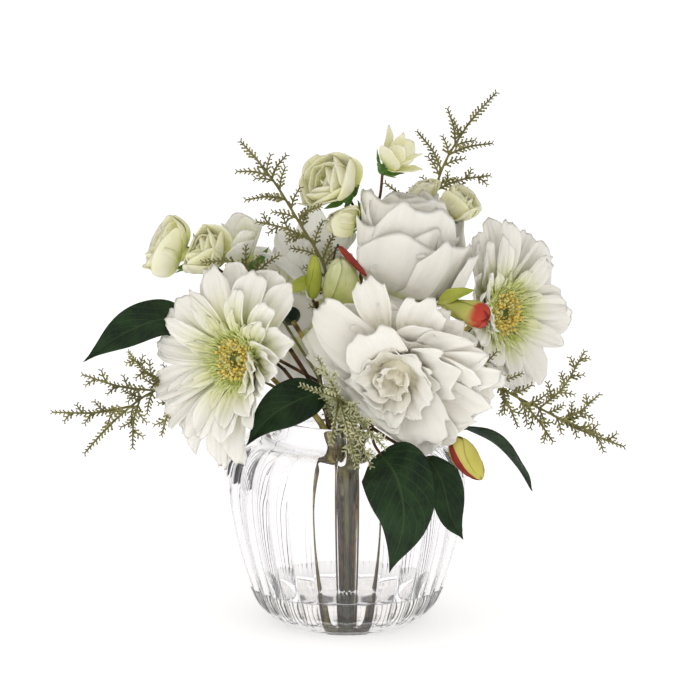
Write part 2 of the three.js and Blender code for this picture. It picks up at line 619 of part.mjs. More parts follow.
function makeRoses() {
  for (const [name, rose] of Object.entries(roses)) {
    const bloom = { ...rose, rings: roseRings(rose) };
    addNode(name, bloomPetals(bloom, roseHeart(rose.size)), colours.cream);
  }
}

// Rose sprays: one stem in the bundle, branching to its heads, with their sepals.
const twig = 0.9;
function roseSpray(name, slot, trunk, heads) {
  const fork = trunk[trunk.length - 1];
  const shapes = [bundledStem(slot, trunk, 1.4, 8, 4)];
  for (const { rose, via } of heads) {
    const spec = roses[rose];
    shapes.push(stem([fork, ...via, below(spec, 0.45 * spec.size)], twig, 3, 4));
    shapes.push(sepals(spec, spec.size));
  }
  addNode(name, fuse(shapes), colours.stem);
}

function makeFlowers() {
  gerbera('gerbera_left', blooms.gerberaLeft, outerSlot(214), [[-34, -24, 136]]);
  gerbera('gerbera_right', blooms.gerberaRight, outerSlot(14), [[44, 10, 142]]);
  gerbera('gerbera_back', blooms.gerberaBack, outerSlot(104), [[-14, 24, 138]]);
  addNode('peony_front_petals', bloomPetals(peonyFront, peonyFrontCore), colours.white);
  addNode('peony_top_petals', bloomPetals(peonyTop, peonyTopCore), colours.white);
  addNode('lily_petals', bloomPetals(lily, lilyCore), colours.white);
  makeRoses();
  roseSpray('rose_spray_top', innerSlot(120, 5), [[5, 8, 170], [11, 9, 222]], [
    { rose: 'rose_large', via: [] },
    { rose: 'rose_bud', via: [] },
    { rose: 'rose_tip', via: [[18, 4, 240]] },
  ]);
  roseSpray('rose_spray_left', innerSlot(180, 9), [[-40, 6, 166], [-66, 5, 196]], [
    { rose: 'rose_left', via: [] },
    { rose: 'rose_far_left', via: [] },
    { rose: 'rose_bell', via: [] },
  ]);
  roseSpray('rose_spray_right', outerSlot(42), [[24, 24, 160], [44, 28, 214]], [
    { rose: 'rose_right', via: [] },
    { rose: 'rose_high', via: [] },
  ]);
}

// Buds and the leafy stems that carry them.
const greenBud = { centre: [-3, -24, 179], tip: [-3, -26, 213], radius: 10.5 };
const slimBud = { centre: [-19, -21, 188], tip: [-18, -23, 214], radius: 4.2, sides: 5 };
const redBud = { centre: [52, -44, 189.5], tip: [77, -60, 185], radius: 7.2, profile: bluntBud };
const lowBud = { centre: [58, -52, 116], tip: [74, -67, 96], radius: 7.2 };
const redBract = { centre: [-4.5, -26, 219], tip: [11, -36, 203.5], radius: 1.6, sides: 4 };
const budFoot = (spec, drop) => {
  const back = vec(spec.centre).sub(vec(spec.tip)).setLength(drop);
  return vec(spec.centre).add(back).toArray();
};

const leaves = {
  farLeft: { rib: [[-90, -4, 171], [-104, -8, 174], [-127, -14, 166], [-148, -14, 151]], width: 27,
    fold: 0.2, wave: 1.5, phase: 0.5, facing: [-0.25, -0.75, 0.6] },
  left: { rib: [[-12, -33, 138], [-27, -41, 135], [-43, -46, 126], [-56, -50, 111]], width: 26,
    fold: 0.15, wave: 1.2, phase: 1.5, facing: [-0.25, -0.9, 0.3] },
  centre: { rib: [[18, -56, 108.5], [27, -74, 99], [31, -82, 77], [23, -80, 46]], width: 40,
    fold: 0.22, wave: 1.5, phase: 2.5, facing: [0.05, -0.95, 0.2] },
  small: { rib: [[44, -57, 107], [52, -68, 95], [57, -73, 76], [64, -72, 63]], width: 21,
    fold: 0.25, wave: 1, phase: 0.2, facing: [0.35, -0.9, 0.2] },
  right: { rib: [[64, -32, 118], [82, -33, 109], [95, -31, 95], [104, -28, 80]], width: 24,
    fold: 0.3, wave: 1.6, phase: 3.5, facing: [0.55, 0.25, 0.75] },
  backLeft: { rib: [[-44, 20, 148], [-62, 24, 155], [-82, 26, 150], [-98, 26, 134]], width: 30,
    fold: 0.2, wave: 1.5, phase: 1, facing: [-0.3, 0.8, 0.5] },
  back: { rib: [[8, 50, 126], [14, 64, 127], [22, 77, 118], [28, 84, 100]], width: 34,
    fold: 0.2, wave: 1.5, phase: 4, facing: [0.1, 0.9, 0.4] },
  backRight: { rib: [[50, 38, 144], [66, 48, 150], [82, 54, 148], [92, 56, 138]], width: 28,
    fold: 0.2, wave: 1.5, phase: 5, facing: [0.3, 0.7, 0.6] },
};
const petiole = 1.1;
const petioleTo = (leaf, points) => {
  const [root, next] = leaf.rib.map(vec);
  const inside = root.clone().lerp(next, 0.12).toArray();
  return stem([...points, inside], petiole, 2 * points.length, 4);
};

function makeLeafyStems() {
  addNode('bud_green', fuse([bud(greenBud)]), colours.lime);
  addNode('bud_slim', fuse([bud(slimBud)]), colours.lime);
  addNode('bud_red', fuse([bud(redBud)]), colours.red);
  addNode('bud_low', fuse([bud(lowBud)]), colours.lime);
  addNode('bract_red', fuse([bud(redBract)]), colours.red);

  const budFork = [-8, -17, 166];
  addNode('bud_stem', fuse([
    bundledStem(outerSlot(242), [[-6, -14, 140], budFork], 1.4, 7, 4),
    stem([budFork, [-5, -21, 173], budFoot(greenBud, seatGap)], twig, 2, 4),
    stem([budFork, [-14, -19, 178], budFoot(slimBud, seatGap)], twig, 2, 4),
    stem([budFork, [-9, -11, 188], [-7, -13, 212], budFoot(redBract, 2 * seatGap)], 0.7, 6, 4),
    petioleTo(leaves.left, [[-6.5, -13, 126], [-9, -24, 135]]),
    leafBlade(leaves.left),
  ]), colours.leaf);

    addNode('peony_front_stem', fuse([
    bundledStem(outerSlot(302), [[17, -20, 134], below(peonyFront, 10)], bundle.mainStem, 7, 5),
    calyxUnder(peonyFront, 9, 7 + seatGap),
    petioleTo(leaves.centre, [[8, -14.5, 113], [10, -27, 120], [13, -39, 119.5], [15, -49, 112]]),
    leafBlade(leaves.centre),
    petioleTo(leaves.small, [[13, -39, 119.5], [26, -46, 112.5]]),
    leafBlade(leaves.small),
  ]), colours.leaf);

  addNode('peony_top_stem', fuse([
    bundledStem(innerSlot(300, 7), [[9, -6, 145], below(peonyTop, 8)], bundle.mainStem, 8, 5),
    calyxUnder(peonyTop, 7.5, 5 + seatGap),
    stem([[14, -5, 160], [22, -16, 177], [38, -32, 187], budFoot(redBud, seatGap)], twig, 6, 4),
  ]), colours.stem);

  addNode('low_bud_stem', fuse([
    bundledStem(outerSlot(332), [[28, -22, 121], [42, -37, 117], budFoot(lowBud, seatGap)], 1.2, 11, 4),
    petioleTo(leaves.right, [[33, -28, 120.5], [50, -33, 118]]),
    leafBlade(leaves.right),
  ]), colours.leaf);

  addNode('lily_stem', fuse([
    bundledStem(outerSlot(136), [[-16, 12, 140], below(lily, 5.6)], bundle.mainStem, 8, 5),
    petioleTo(leaves.farLeft, [[-14.5, 11, 134], [-44, 2, 152], [-74, 0, 166]]),
    leafBlade(leaves.farLeft),
  ]), colours.leaf);

  addNode('leafy_stem_left', fuse([
    bundledStem(outerSlot(163, 16), [[-25, 10, 128], [-36, 17, 141]], 1.2, 8, 4),
    petioleTo(leaves.backLeft, [[-35.4, 16.6, 140.4]]),
    leafBlade(leaves.backLeft),
  ]), colours.leaf);
  addNode('leafy_stem_right', fuse([
    bundledStem(outerSlot(70, 16), [[12, 26, 122], [24, 31, 128], [38, 34, 137]], 1.2, 10, 4),
    petioleTo(leaves.backRight, [[37.5, 34, 136.7]]),
    leafBlade(leaves.backRight),
    petioleTo(leaves.back, [[11.5, 25, 121.3], [9, 40, 125]]),
    leafBlade(leaves.back),
  ]), colours.leaf);
}

// Fern sprays. Each frond is given by the trunk point that it leaves, counted from the stem's foot,
// and its tip.
const ferns = {
  fern_top_left: {
    slot: innerSlot(240), facing: [0, -1, 0.15],
    trunk: [[-5, 1, 160], [-13, -8, 205], [-26, -7, 228], [-40, -6, 251], [-50, -5, 264]],
    fronds: [[7, [-59, -4, 274]], [6.3, [-61, -8, 258]], [6.2, [-34, -2, 266]],
      [5.6, [-56, -8, 242]], [5.1, [-15, -26, 241]], [4.6, [-50, -4, 229]], [4.1, [-2, -9, 229]]],
  },
  fern_top_right: {
    slot: innerSlot(60), facing: [0, -1, 0.1],
    trunk: [[20, 24, 165], [38, 40, 211], [47, 40, 232], [56, 38, 257], [68, 34, 278]],
    fronds: [[7, [84, 30, 297]], [6.5, [57, 36, 287]], [6.2, [82, 32, 268]], [5.8, [40, 36, 274]],
      [5.3, [81, 36, 249]], [4.5, [22, 40, 244]]],
  },
  fern_left: {
    slot: outerSlot(188), facing: [0, -0.9, 0.4],
    trunk: [[-34, -1, 130], [-62, 0, 142], [-93, -4, 138], [-113, -9, 131], [-130, -13, 118]],
    fronds: [[7, [-147, -18, 100]], [6.5, [-165, -12, 122]], [5.7, [-148, -10, 143]],
      [6.2, [-120, -22, 104]], [5.3, [-121, -35, 161]], [4.9, [-104, -16, 110]]],
  },
  fern_right: {
    slot: innerSlot(0), facing: [0, -0.9, 0.4],
    trunk: [[30, -6, 126], [52, -18, 146], [72, -27, 150], [90, -24, 136], [112, -16, 123], [130, -10, 112]],
    fronds: [[8, [156, -6, 101]], [7.5, [142, -2, 130]], [6.8, [134, 6, 153]],
      [7.2, [142, -18, 110]], [6.3, [115, -24, 108]], [5.6, [95, -30, 118]]],
  },
  fern_centre: {
    slot: outerSlot(272), facing: [-0.3, -0.9, -0.3],
    trunk: [[-1, -24, 122], [-3, -40, 132], [-5, -56, 138], [-4, -70, 142]],
    fronds: [[6, [-16, -76, 166]], [5.9, [5, -83, 107]], [5.7, [20, -89, 119]], [5.6, [-9, -76, 118]]],
  },
  fern_over_gerbera: {
    slot: { radius: 0, degrees: 210, neck: 9 }, facing: [0, -0.95, 0.3],
    trunk: [[-14, -6, 136], [-34, -14, 172], [-50, -22, 202], [-60, -24, 209]],
    fronds: [[5, [-38, -22, 213]], [6, [-80, -21, 209]], [5.5, [-56, -21, 218]]],
  },
};
function makeFerns() {
  for (const [name, spray] of Object.entries(ferns)) {
    const trunk = [...inBundle(spray.slot.radius, spray.slot.degrees, spray.slot.neck), ...spray.trunk];
    const line = new THREE.CatmullRomCurve3(trunk.map(vec), false, 'centripetal');
    const facing = vec(spray.facing).normalize();
    const shapes = [bundledStem(spray.slot, spray.trunk, bundle.thinStem, 10, 3)];
    for (const [from, tip] of spray.fronds) {
      const share = from / (trunk.length - 1);
      const start = line.getPoint(share);
      const reach = vec(tip).distanceTo(start);
      const middle = start.clone().lerp(vec(tip), 0.4).addScaledVector(line.getTangent(share), 0.08 * reach);
      shapes.push(frond([start, middle, vec(tip)], facing, fern.leaflet));
    }
    addNode(name, fuse(shapes), colours.fern);
  }
}

makeVase();
makeFlowers();
makeLeafyStems();
makeFerns();
makeResin();

const centrepiece = new THREE.Group();
centrepiece.name = 'floral_table_centrepiece';
centrepiece.add(...meshes);

export default centrepiece;
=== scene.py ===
import math

import bpy
import numpy as np
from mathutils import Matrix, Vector

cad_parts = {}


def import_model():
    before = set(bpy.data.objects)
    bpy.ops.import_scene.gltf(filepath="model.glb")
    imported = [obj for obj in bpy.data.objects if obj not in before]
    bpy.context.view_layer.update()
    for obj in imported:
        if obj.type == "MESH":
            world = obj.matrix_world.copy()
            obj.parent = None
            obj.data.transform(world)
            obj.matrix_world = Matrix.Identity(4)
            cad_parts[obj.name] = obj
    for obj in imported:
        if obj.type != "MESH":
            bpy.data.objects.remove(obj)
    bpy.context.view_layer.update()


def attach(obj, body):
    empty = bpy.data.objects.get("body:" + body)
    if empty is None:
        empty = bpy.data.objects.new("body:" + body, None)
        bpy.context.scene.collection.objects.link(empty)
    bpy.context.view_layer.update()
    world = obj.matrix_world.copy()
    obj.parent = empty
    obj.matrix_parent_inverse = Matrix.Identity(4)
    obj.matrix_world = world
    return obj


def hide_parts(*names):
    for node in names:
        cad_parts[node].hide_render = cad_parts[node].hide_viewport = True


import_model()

# A table arrangement of artificial white flowers, leaves and fern sprays in a ribbed glass vase.
# Sizes are in millimetres here, and every mesh is scaled to metres as it is made.
# The flowers' shapes follow the same rules and the same seeded draws as the solids they replace.

metre = 0.001


# Vectors and smooth lines

def unit(v):
    v = np.asarray(v, float)
    return v / np.linalg.norm(v)


def bloomFrame(centre, facing):
    axis = unit(facing)
    up = np.array((0, 1, 0) if abs(axis[2]) > 0.8 else (0, 0, 1), float)
    right = unit(np.cross(up, axis))
    return {"centre": np.array(centre, float), "axis": axis, "right": right, "up": np.cross(axis, right)}


# count + 1 places along a centripetal Catmull-Rom line through the points
def smoothLine(points, count):
    points = [np.array(p, float) for p in points]
    last = len(points) - 1
    places = []
    for k in range(count + 1):
        at = last * k / count
        i = min(int(at), last - 1)
        w = at - i
        p1, p2 = points[i], points[i + 1]
        p0 = points[i - 1] if i > 0 else 2 * p1 - p2
        p3 = points[i + 2] if i + 2 <= last else 2 * p2 - p1
        d0, d1, d2 = (max(np.dot(b - a, b - a), 1e-9) ** 0.25 for a, b in ((p0, p1), (p1, p2), (p2, p3)))
        t1 = d1 * ((p1 - p0) / d0 - (p2 - p0) / (d0 + d1) + (p2 - p1) / d1)
        t2 = d1 * ((p2 - p1) / d1 - (p3 - p1) / (d1 + d2) + (p3 - p2) / d2)
        square = 3 * (p2 - p1) - 2 * t1 - t2
        cube = 2 * (p1 - p2) + t1 + t2
        places.append(p1 + t1 * w + square * w**2 + cube * w**3)
    return np.array(places)


# The same draw from 0 to 1 as in the solids, so that both have the same petals
def seededDraw(seed):
    word = 0xffffffff
    state = seed & word

    def draw():
        nonlocal state
        state = (state + 0x6d2b79f5) & word
        mixed = ((state ^ (state >> 15)) * (state | 1)) & word
        mixed ^= (mixed + (((mixed ^ (mixed >> 7)) * (mixed | 61)) & word)) & word
        return ((mixed ^ (mixed >> 14)) & word) / (word + 1)

    return draw


# Meshes: each part is its points in millimetres, its faces and a u, v pair for each point

def keepPiece(name, mesh, replaced):
    piece = bpy.data.objects.new(name, mesh)
    bpy.context.scene.collection.objects.link(piece)
    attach(piece, "root")
    if replaced:
        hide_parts(*replaced)


def makePiece(name, parts, material, replaced=()):
    points, faces, uvs = [], [], []
    for partPoints, partFaces, partUvs in parts:
        start = sum(len(p) for p in points)
        points.append(np.asarray(partPoints, float))
        uvs.append(np.asarray(partUvs, float))
        faces.extend([tuple(start + i for i in face) for face in partFaces])
    mesh = bpy.data.meshes.new(name)
    mesh.from_pydata((np.concatenate(points) * metre).tolist(), [], faces)
    layer = mesh.uv_layers.new(name="UVMap")
    corners = np.zeros(len(mesh.loops), int)
    mesh.loops.foreach_get("vertex_index", corners)
    layer.data.foreach_set("uv", np.concatenate(uvs)[corners].ravel())
    mesh.polygons.foreach_set("use_smooth", [True] * len(mesh.polygons))
    mesh.materials.append(material)
    mesh.validate()
    keepPiece(name, mesh, replaced)


# A petal or leaf: its middle surface, thickened to both faces, sharp at the rim
def bladePart(surface, rows, columns, thickness):
    crowding = 1.35  # the columns stand closer together towards both edges
    s = np.linspace(0, 1, rows)
    t = np.sin(np.linspace(-1, 1, columns) * crowding) / math.sin(crowding)
    grid = np.meshgrid(s, t, indexing="ij")
    middle = surface(*grid)
    step = 0.01
    along = surface(grid[0] + step, grid[1]) - surface(grid[0] - step, grid[1])
    across = surface(grid[0], grid[1] + step) - surface(grid[0], grid[1] - step)
    normal = np.cross(along, across)
    normal /= np.maximum(np.linalg.norm(normal, axis=2, keepdims=True), 1e-9)
    inner = (slice(1, -1), slice(1, -1))
    front = middle[inner] + normal[inner] * thickness / 2
    back = middle[inner] - normal[inner] * thickness / 2
    index = np.arange(rows * columns).reshape(rows, columns)
    backIndex = index.copy()
    backIndex[inner] = rows * columns + np.arange((rows - 2) * (columns - 2)).reshape(rows - 2, columns - 2)
    points = middle.reshape(-1, 3).copy()
    points[index[inner].ravel()] = front.reshape(-1, 3)
    points = np.concatenate([points, back.reshape(-1, 3)])
    pair = np.stack(grid, axis=2)
    uvs = np.concatenate([pair.reshape(-1, 2), pair[inner].reshape(-1, 2)])[:, ::-1]
    faces = []
    for side, flip in ((index, False), (backIndex, True)):
        a, b, c, d = side[:-1, :-1], side[1:, :-1], side[1:, 1:], side[:-1, 1:]
        quads = np.stack([d, c, b, a] if flip else [a, b, c, d], axis=2).reshape(-1, 4)
        faces.extend(quads.tolist())
    return points, faces, uvs


# A closed turned shape about +Z from radius and height pairs, bottom to top, whose points bend may move
def turnedPart(profile, segments, place=None, bend=None):
    points, uvs, faces, rings = [], [], [], []
    height = max(profile[-1][1] - profile[0][1], 1e-6)
    for r, z in profile:
        v = (z - profile[0][1]) / height
        if r == 0:
            rings.append([len(points)] * segments)
            points.append((0, 0, z))
            uvs.append((0, v))
            continue
        rings.append(list(range(len(points), len(points) + segments)))
        for k in range(segments):
            turn = 2 * math.pi * k / segments
            points.append((r * math.cos(turn), r * math.sin(turn), z))
            uvs.append((k / segments, v))
    for low, high in zip(rings, rings[1:]):
        for k in range(segments):
            n = (k + 1) % segments
            quad = [low[k], low[n], high[n], high[k]]
            face = [p for i, p in enumerate(quad) if p != quad[i - 1]]
            if len(face) > 2:
                faces.append(face)
    points = np.array(points, float)
    if bend:
        points = bend(points)
    if place:
        basis = np.array([place["right"], place["up"], place["axis"]])
        points = points @ basis + place["centre"]
    return points, faces, np.array(uvs)


# A round stem along the places, closed at both ends
def tubePart(places, radii, sides):
    places = np.asarray(places, float)
    count = len(places)
    radii = np.broadcast_to(radii, count)
    tangents = np.gradient(places, axis=0)
    across = unit(np.cross(tangents[0], (0.31, 0.52, 0.79)))
    points, uvs, faces = [], [], []
    for k in range(count):
        tangent = unit(tangents[k])
        across = unit(across - tangent * np.dot(across, tangent))
        other = np.cross(tangent, across)
        for i in range(sides):
            turn = 2 * math.pi * i / sides
            points.append(places[k] + radii[k] * (math.cos(turn) * across + math.sin(turn) * other))
            uvs.append((i / sides, k / (count - 1)))
    for k in range(count - 1):
        for i in range(sides):
            n = (i + 1) % sides
            faces.append((k * sides + i, k * sides + n, (k + 1) * sides + n, (k + 1) * sides + i))
    faces.append(tuple(reversed(range(sides))))
    faces.append(tuple(range((count - 1) * sides, count * sides)))
    return np.array(points), faces, np.array(uvs)


# Materials

def node(tree, kind, **values):
    made = tree.nodes.new(kind)
    for key, value in values.items():
        setattr(made, key, value)
    return made


def newGroup(name, inputs, outputs, kindOfTree="ShaderNodeTree"):
    tree = bpy.data.node_groups.new(name, kindOfTree)
    for label, kind, value in inputs:
        socket = tree.interface.new_socket(label, in_out="INPUT", socket_type=kind)
        if value is not None:
            socket.default_value = value
    for label, kind in outputs:
        tree.interface.new_socket(label, in_out="OUTPUT", socket_type=kind)
    return tree, node(tree, "NodeGroupInput"), node(tree, "NodeGroupOutput")


def math2(tree, operation, a, b=None, clamp=False):
    made = node(tree, "ShaderNodeMath", operation=operation, use_clamp=clamp)
    for socket, value in zip(made.inputs, (a, b)):
        if value is None:
            continue
        if isinstance(value, (int, float)):
            socket.default_value = value
        else:
            tree.links.new(value, socket)
    return made.outputs[0]


def opaque(colour):
    return (*colour, 1)


def mixColour(tree, factor, a, b):
    made = node(tree, "ShaderNodeMix", data_type="RGBA")
    tree.links.new(factor, made.inputs[0])
    for socket, value in ((made.inputs[6], a), (made.inputs[7], b)):
        if isinstance(value, tuple):
            socket.default_value = opaque(value)
        else:
            tree.links.new(value, socket)
    return made.outputs[2]


# A soft step from 0 at the first share of the blade's length to 1 at the second
def softStep(tree, value, fromShare, toShare):
    ramp = node(tree, "ShaderNodeMapRange", interpolation_type="SMOOTHSTEP")
    ramp.inputs["From Min"].default_value = fromShare
    ramp.inputs["From Max"].default_value = toShare
    tree.links.new(value, ramp.inputs["Value"])
    return ramp.outputs[0]


# Fine weave and cloudy tone of pressed cloth, in the piece's own space
def makeClothGrain():
    tree, given, out = newGroup(
        "clothGrain",
        [("Scale", "NodeSocketFloat", 900.0), ("Cloud Scale", "NodeSocketFloat", 60.0)],
        [("Height", "NodeSocketFloat"), ("Tone", "NodeSocketFloat")],
    )
    coords = node(tree, "ShaderNodeTexCoord")
    fine = node(tree, "ShaderNodeTexNoise")
    fine.inputs["Detail"].default_value = 3
    cloud = node(tree, "ShaderNodeTexNoise")
    cloud.inputs["Detail"].default_value = 4
    for texture, scale in ((fine, "Scale"), (cloud, "Cloud Scale")):
        tree.links.new(coords.outputs["Object"], texture.inputs["Vector"])
        tree.links.new(given.outputs[scale], texture.inputs["Scale"])
    tree.links.new(fine.outputs["Fac"], out.inputs["Height"])
    spread = node(tree, "ShaderNodeMapRange")
    spread.inputs["From Min"].default_value = 0.36
    spread.inputs["From Max"].default_value = 0.64
    tree.links.new(cloud.outputs["Fac"], spread.inputs["Value"])
    tree.links.new(spread.outputs[0], out.inputs["Tone"])
    return tree


# Veins of a blade from its own u, v: a midrib, side veins that sweep to the tip, a fine net and long pleats
def makeVeins():
    number = "NodeSocketFloat"
    tree, given, out = newGroup(
        "bladeVeins",
        [("Side Veins", number, 9.0), ("Sweep", number, 0.35), ("Pleats", number, 5.0)],
        [("Midrib", number), ("Side Vein", number), ("Pleat", number), ("Reach", number),
         ("Network", number)],
    )
    uv = node(tree, "ShaderNodeUVMap", uv_map="UVMap")
    split = node(tree, "ShaderNodeSeparateXYZ")
    tree.links.new(uv.outputs[0], split.inputs[0])
    off = math2(tree, "ABSOLUTE", split.outputs[0])
    rib = math2(tree, "SUBTRACT", 1, math2(tree, "DIVIDE", off, 0.06), clamp=True)
    swept = math2(tree, "SUBTRACT", split.outputs[1], math2(tree, "MULTIPLY", off, given.outputs["Sweep"]))
    turns = math2(tree, "MULTIPLY", swept, given.outputs["Side Veins"])
    saw = math2(tree, "ABSOLUTE", math2(tree, "SUBTRACT", math2(tree, "FRACT", turns), 0.5))
    vein = math2(tree, "SUBTRACT", 1, math2(tree, "DIVIDE", saw, 0.09), clamp=True)
    noise = node(tree, "ShaderNodeTexNoise")
    noise.inputs["Scale"].default_value = 6
    tree.links.new(uv.outputs[0], noise.inputs["Vector"])
    shifted = math2(tree, "ADD", split.outputs[0], math2(tree, "MULTIPLY", noise.outputs["Fac"], 0.25))
    pleatTurns = math2(tree, "MULTIPLY", shifted, given.outputs["Pleats"])
    wave = math2(tree, "SINE", math2(tree, "MULTIPLY", pleatTurns, 6.28))
    cells = node(tree, "ShaderNodeTexVoronoi", feature="DISTANCE_TO_EDGE")
    cells.inputs["Scale"].default_value = 9
    stretched = node(tree, "ShaderNodeVectorMath", operation="MULTIPLY")
    stretched.inputs[1].default_value = (1, 2.2, 1)
    tree.links.new(uv.outputs[0], stretched.inputs[0])
    tree.links.new(stretched.outputs[0], cells.inputs["Vector"])
    network = math2(tree, "SUBTRACT", 1, math2(tree, "DIVIDE", cells.outputs["Distance"], 0.06), clamp=True)
    tree.links.new(network, out.inputs["Network"])
    tree.links.new(rib, out.inputs["Midrib"])
    tree.links.new(vein, out.inputs["Side Vein"])
    tree.links.new(wave, out.inputs["Pleat"])
    tree.links.new(split.outputs[1], out.inputs["Reach"])
    return tree


clothGrain = makeClothGrain()
bladeVeins = makeVeins()


def startMaterial(name, roughness, **shaderValues):
    material = bpy.data.materials.new(name)
    material.use_nodes = True
    tree = material.node_tree
    shader = tree.nodes["Principled BSDF"]
    shader.inputs["Roughness"].default_value = roughness
    for socket, value in shaderValues.items():
        shader.inputs[socket.replace("_", " ")].default_value = value
    return material, tree, shader


def grainOf(tree, scale=900, cloudScale=60):
    grain = node(tree, "ShaderNodeGroup", node_tree=clothGrain)
    grain.inputs["Scale"].default_value = scale
    grain.inputs["Cloud Scale"].default_value = cloudScale
    return grain


def bumpInto(tree, shader, height, strength, distance):
    bump = node(tree, "ShaderNodeBump")
    bump.inputs["Strength"].default_value = strength
    bump.inputs["Distance"].default_value = distance
    tree.links.new(height, bump.inputs["Height"])
    tree.links.new(bump.outputs[0], shader.inputs["Normal"])


# Matt cloth petal: the root's colour runs into the petal's own, with soft pleats and a cloudy tone
def petalMaterial(name, look):
    material, tree, shader = startMaterial(
        name, 0.72, Sheen_Weight=0.15, Subsurface_Weight=look["glow"], Subsurface_Scale=0.005
    )
    shader.inputs["Subsurface Radius"].default_value = (0.85, 0.9, 1.0)
    grain = grainOf(tree)
    veins = node(tree, "ShaderNodeGroup", node_tree=bladeVeins)
    veins.inputs["Pleats"].default_value = look["pleats"]
    pastRoot = softStep(tree, veins.outputs["Reach"], look["rootFrom"], look["rootTo"])
    shade = mixColour(tree, grain.outputs["Tone"], look["shade"], look["colour"])
    base = mixColour(tree, pastRoot, look["root"], shade)
    tree.links.new(base, shader.inputs["Base Color"])
    pleat = math2(tree, "MULTIPLY", veins.outputs["Pleat"], look["pleatHeight"])
    weave = math2(tree, "MULTIPLY", grain.outputs["Height"], 0.25)
    bumpInto(tree, shader, math2(tree, "ADD", pleat, weave), 0.35, 0.0004)
    return material


# Satin leaf with paler veins pressed into it
def leafMaterial(name, look):
    material, tree, shader = startMaterial(name, look["roughness"], Specular_IOR_Level=0.22)
    grain = grainOf(tree, 1400, 90)
    veins = node(tree, "ShaderNodeGroup", node_tree=bladeVeins)
    veins.inputs["Side Veins"].default_value = look["sideVeins"]
    sideVein = math2(tree, "MULTIPLY", veins.outputs["Side Vein"], 0.6)
    large = math2(tree, "MAXIMUM", veins.outputs["Midrib"], sideVein)
    lines = math2(tree, "MAXIMUM", large, math2(tree, "MULTIPLY", veins.outputs["Network"], 0.35))
    shade = mixColour(tree, grain.outputs["Tone"], look["shade"], look["colour"])
    base = mixColour(tree, math2(tree, "MULTIPLY", lines, look["veinShare"]), shade, look["vein"])
    tree.links.new(base, shader.inputs["Base Color"])
    groove = math2(tree, "MULTIPLY", lines, -0.8)
    weave = math2(tree, "MULTIPLY", grain.outputs["Height"], 0.3)
    bumpInto(tree, shader, math2(tree, "ADD", groove, weave), 0.5, 0.0004)
    return material


# Moulded plastic or wrapped stem: two tones that cloud into each other, and on a bud one more toward its tip
def plainMaterial(name, look):
    material, tree, shader = startMaterial(name, look["roughness"], Specular_IOR_Level=0.2)
    grain = grainOf(tree, 1600, look.get("cloudScale", 90))
    base = mixColour(tree, grain.outputs["Tone"], look["shade"], look["colour"])
    if "tip" in look:
        veins = node(tree, "ShaderNodeGroup", node_tree=bladeVeins)
        ragged = math2(tree, "MULTIPLY", grain.outputs["Tone"], 0.2)
        reach = math2(tree, "ADD", veins.outputs["Reach"], ragged)
        base = mixColour(tree, softStep(tree, reach, look["tipFrom"], look["tipTo"]), base, look["tip"])
    tree.links.new(base, shader.inputs["Base Color"])
    bumpInto(tree, shader, grain.outputs["Height"], 0.3, 0.0003)
    return material


def clearMaterial(name, colour, ior):
    material, _, shader = startMaterial(name, 0.0, Transmission_Weight=1.0, IOR=ior)
    shader.inputs["Base Color"].default_value = opaque(colour)
    return material


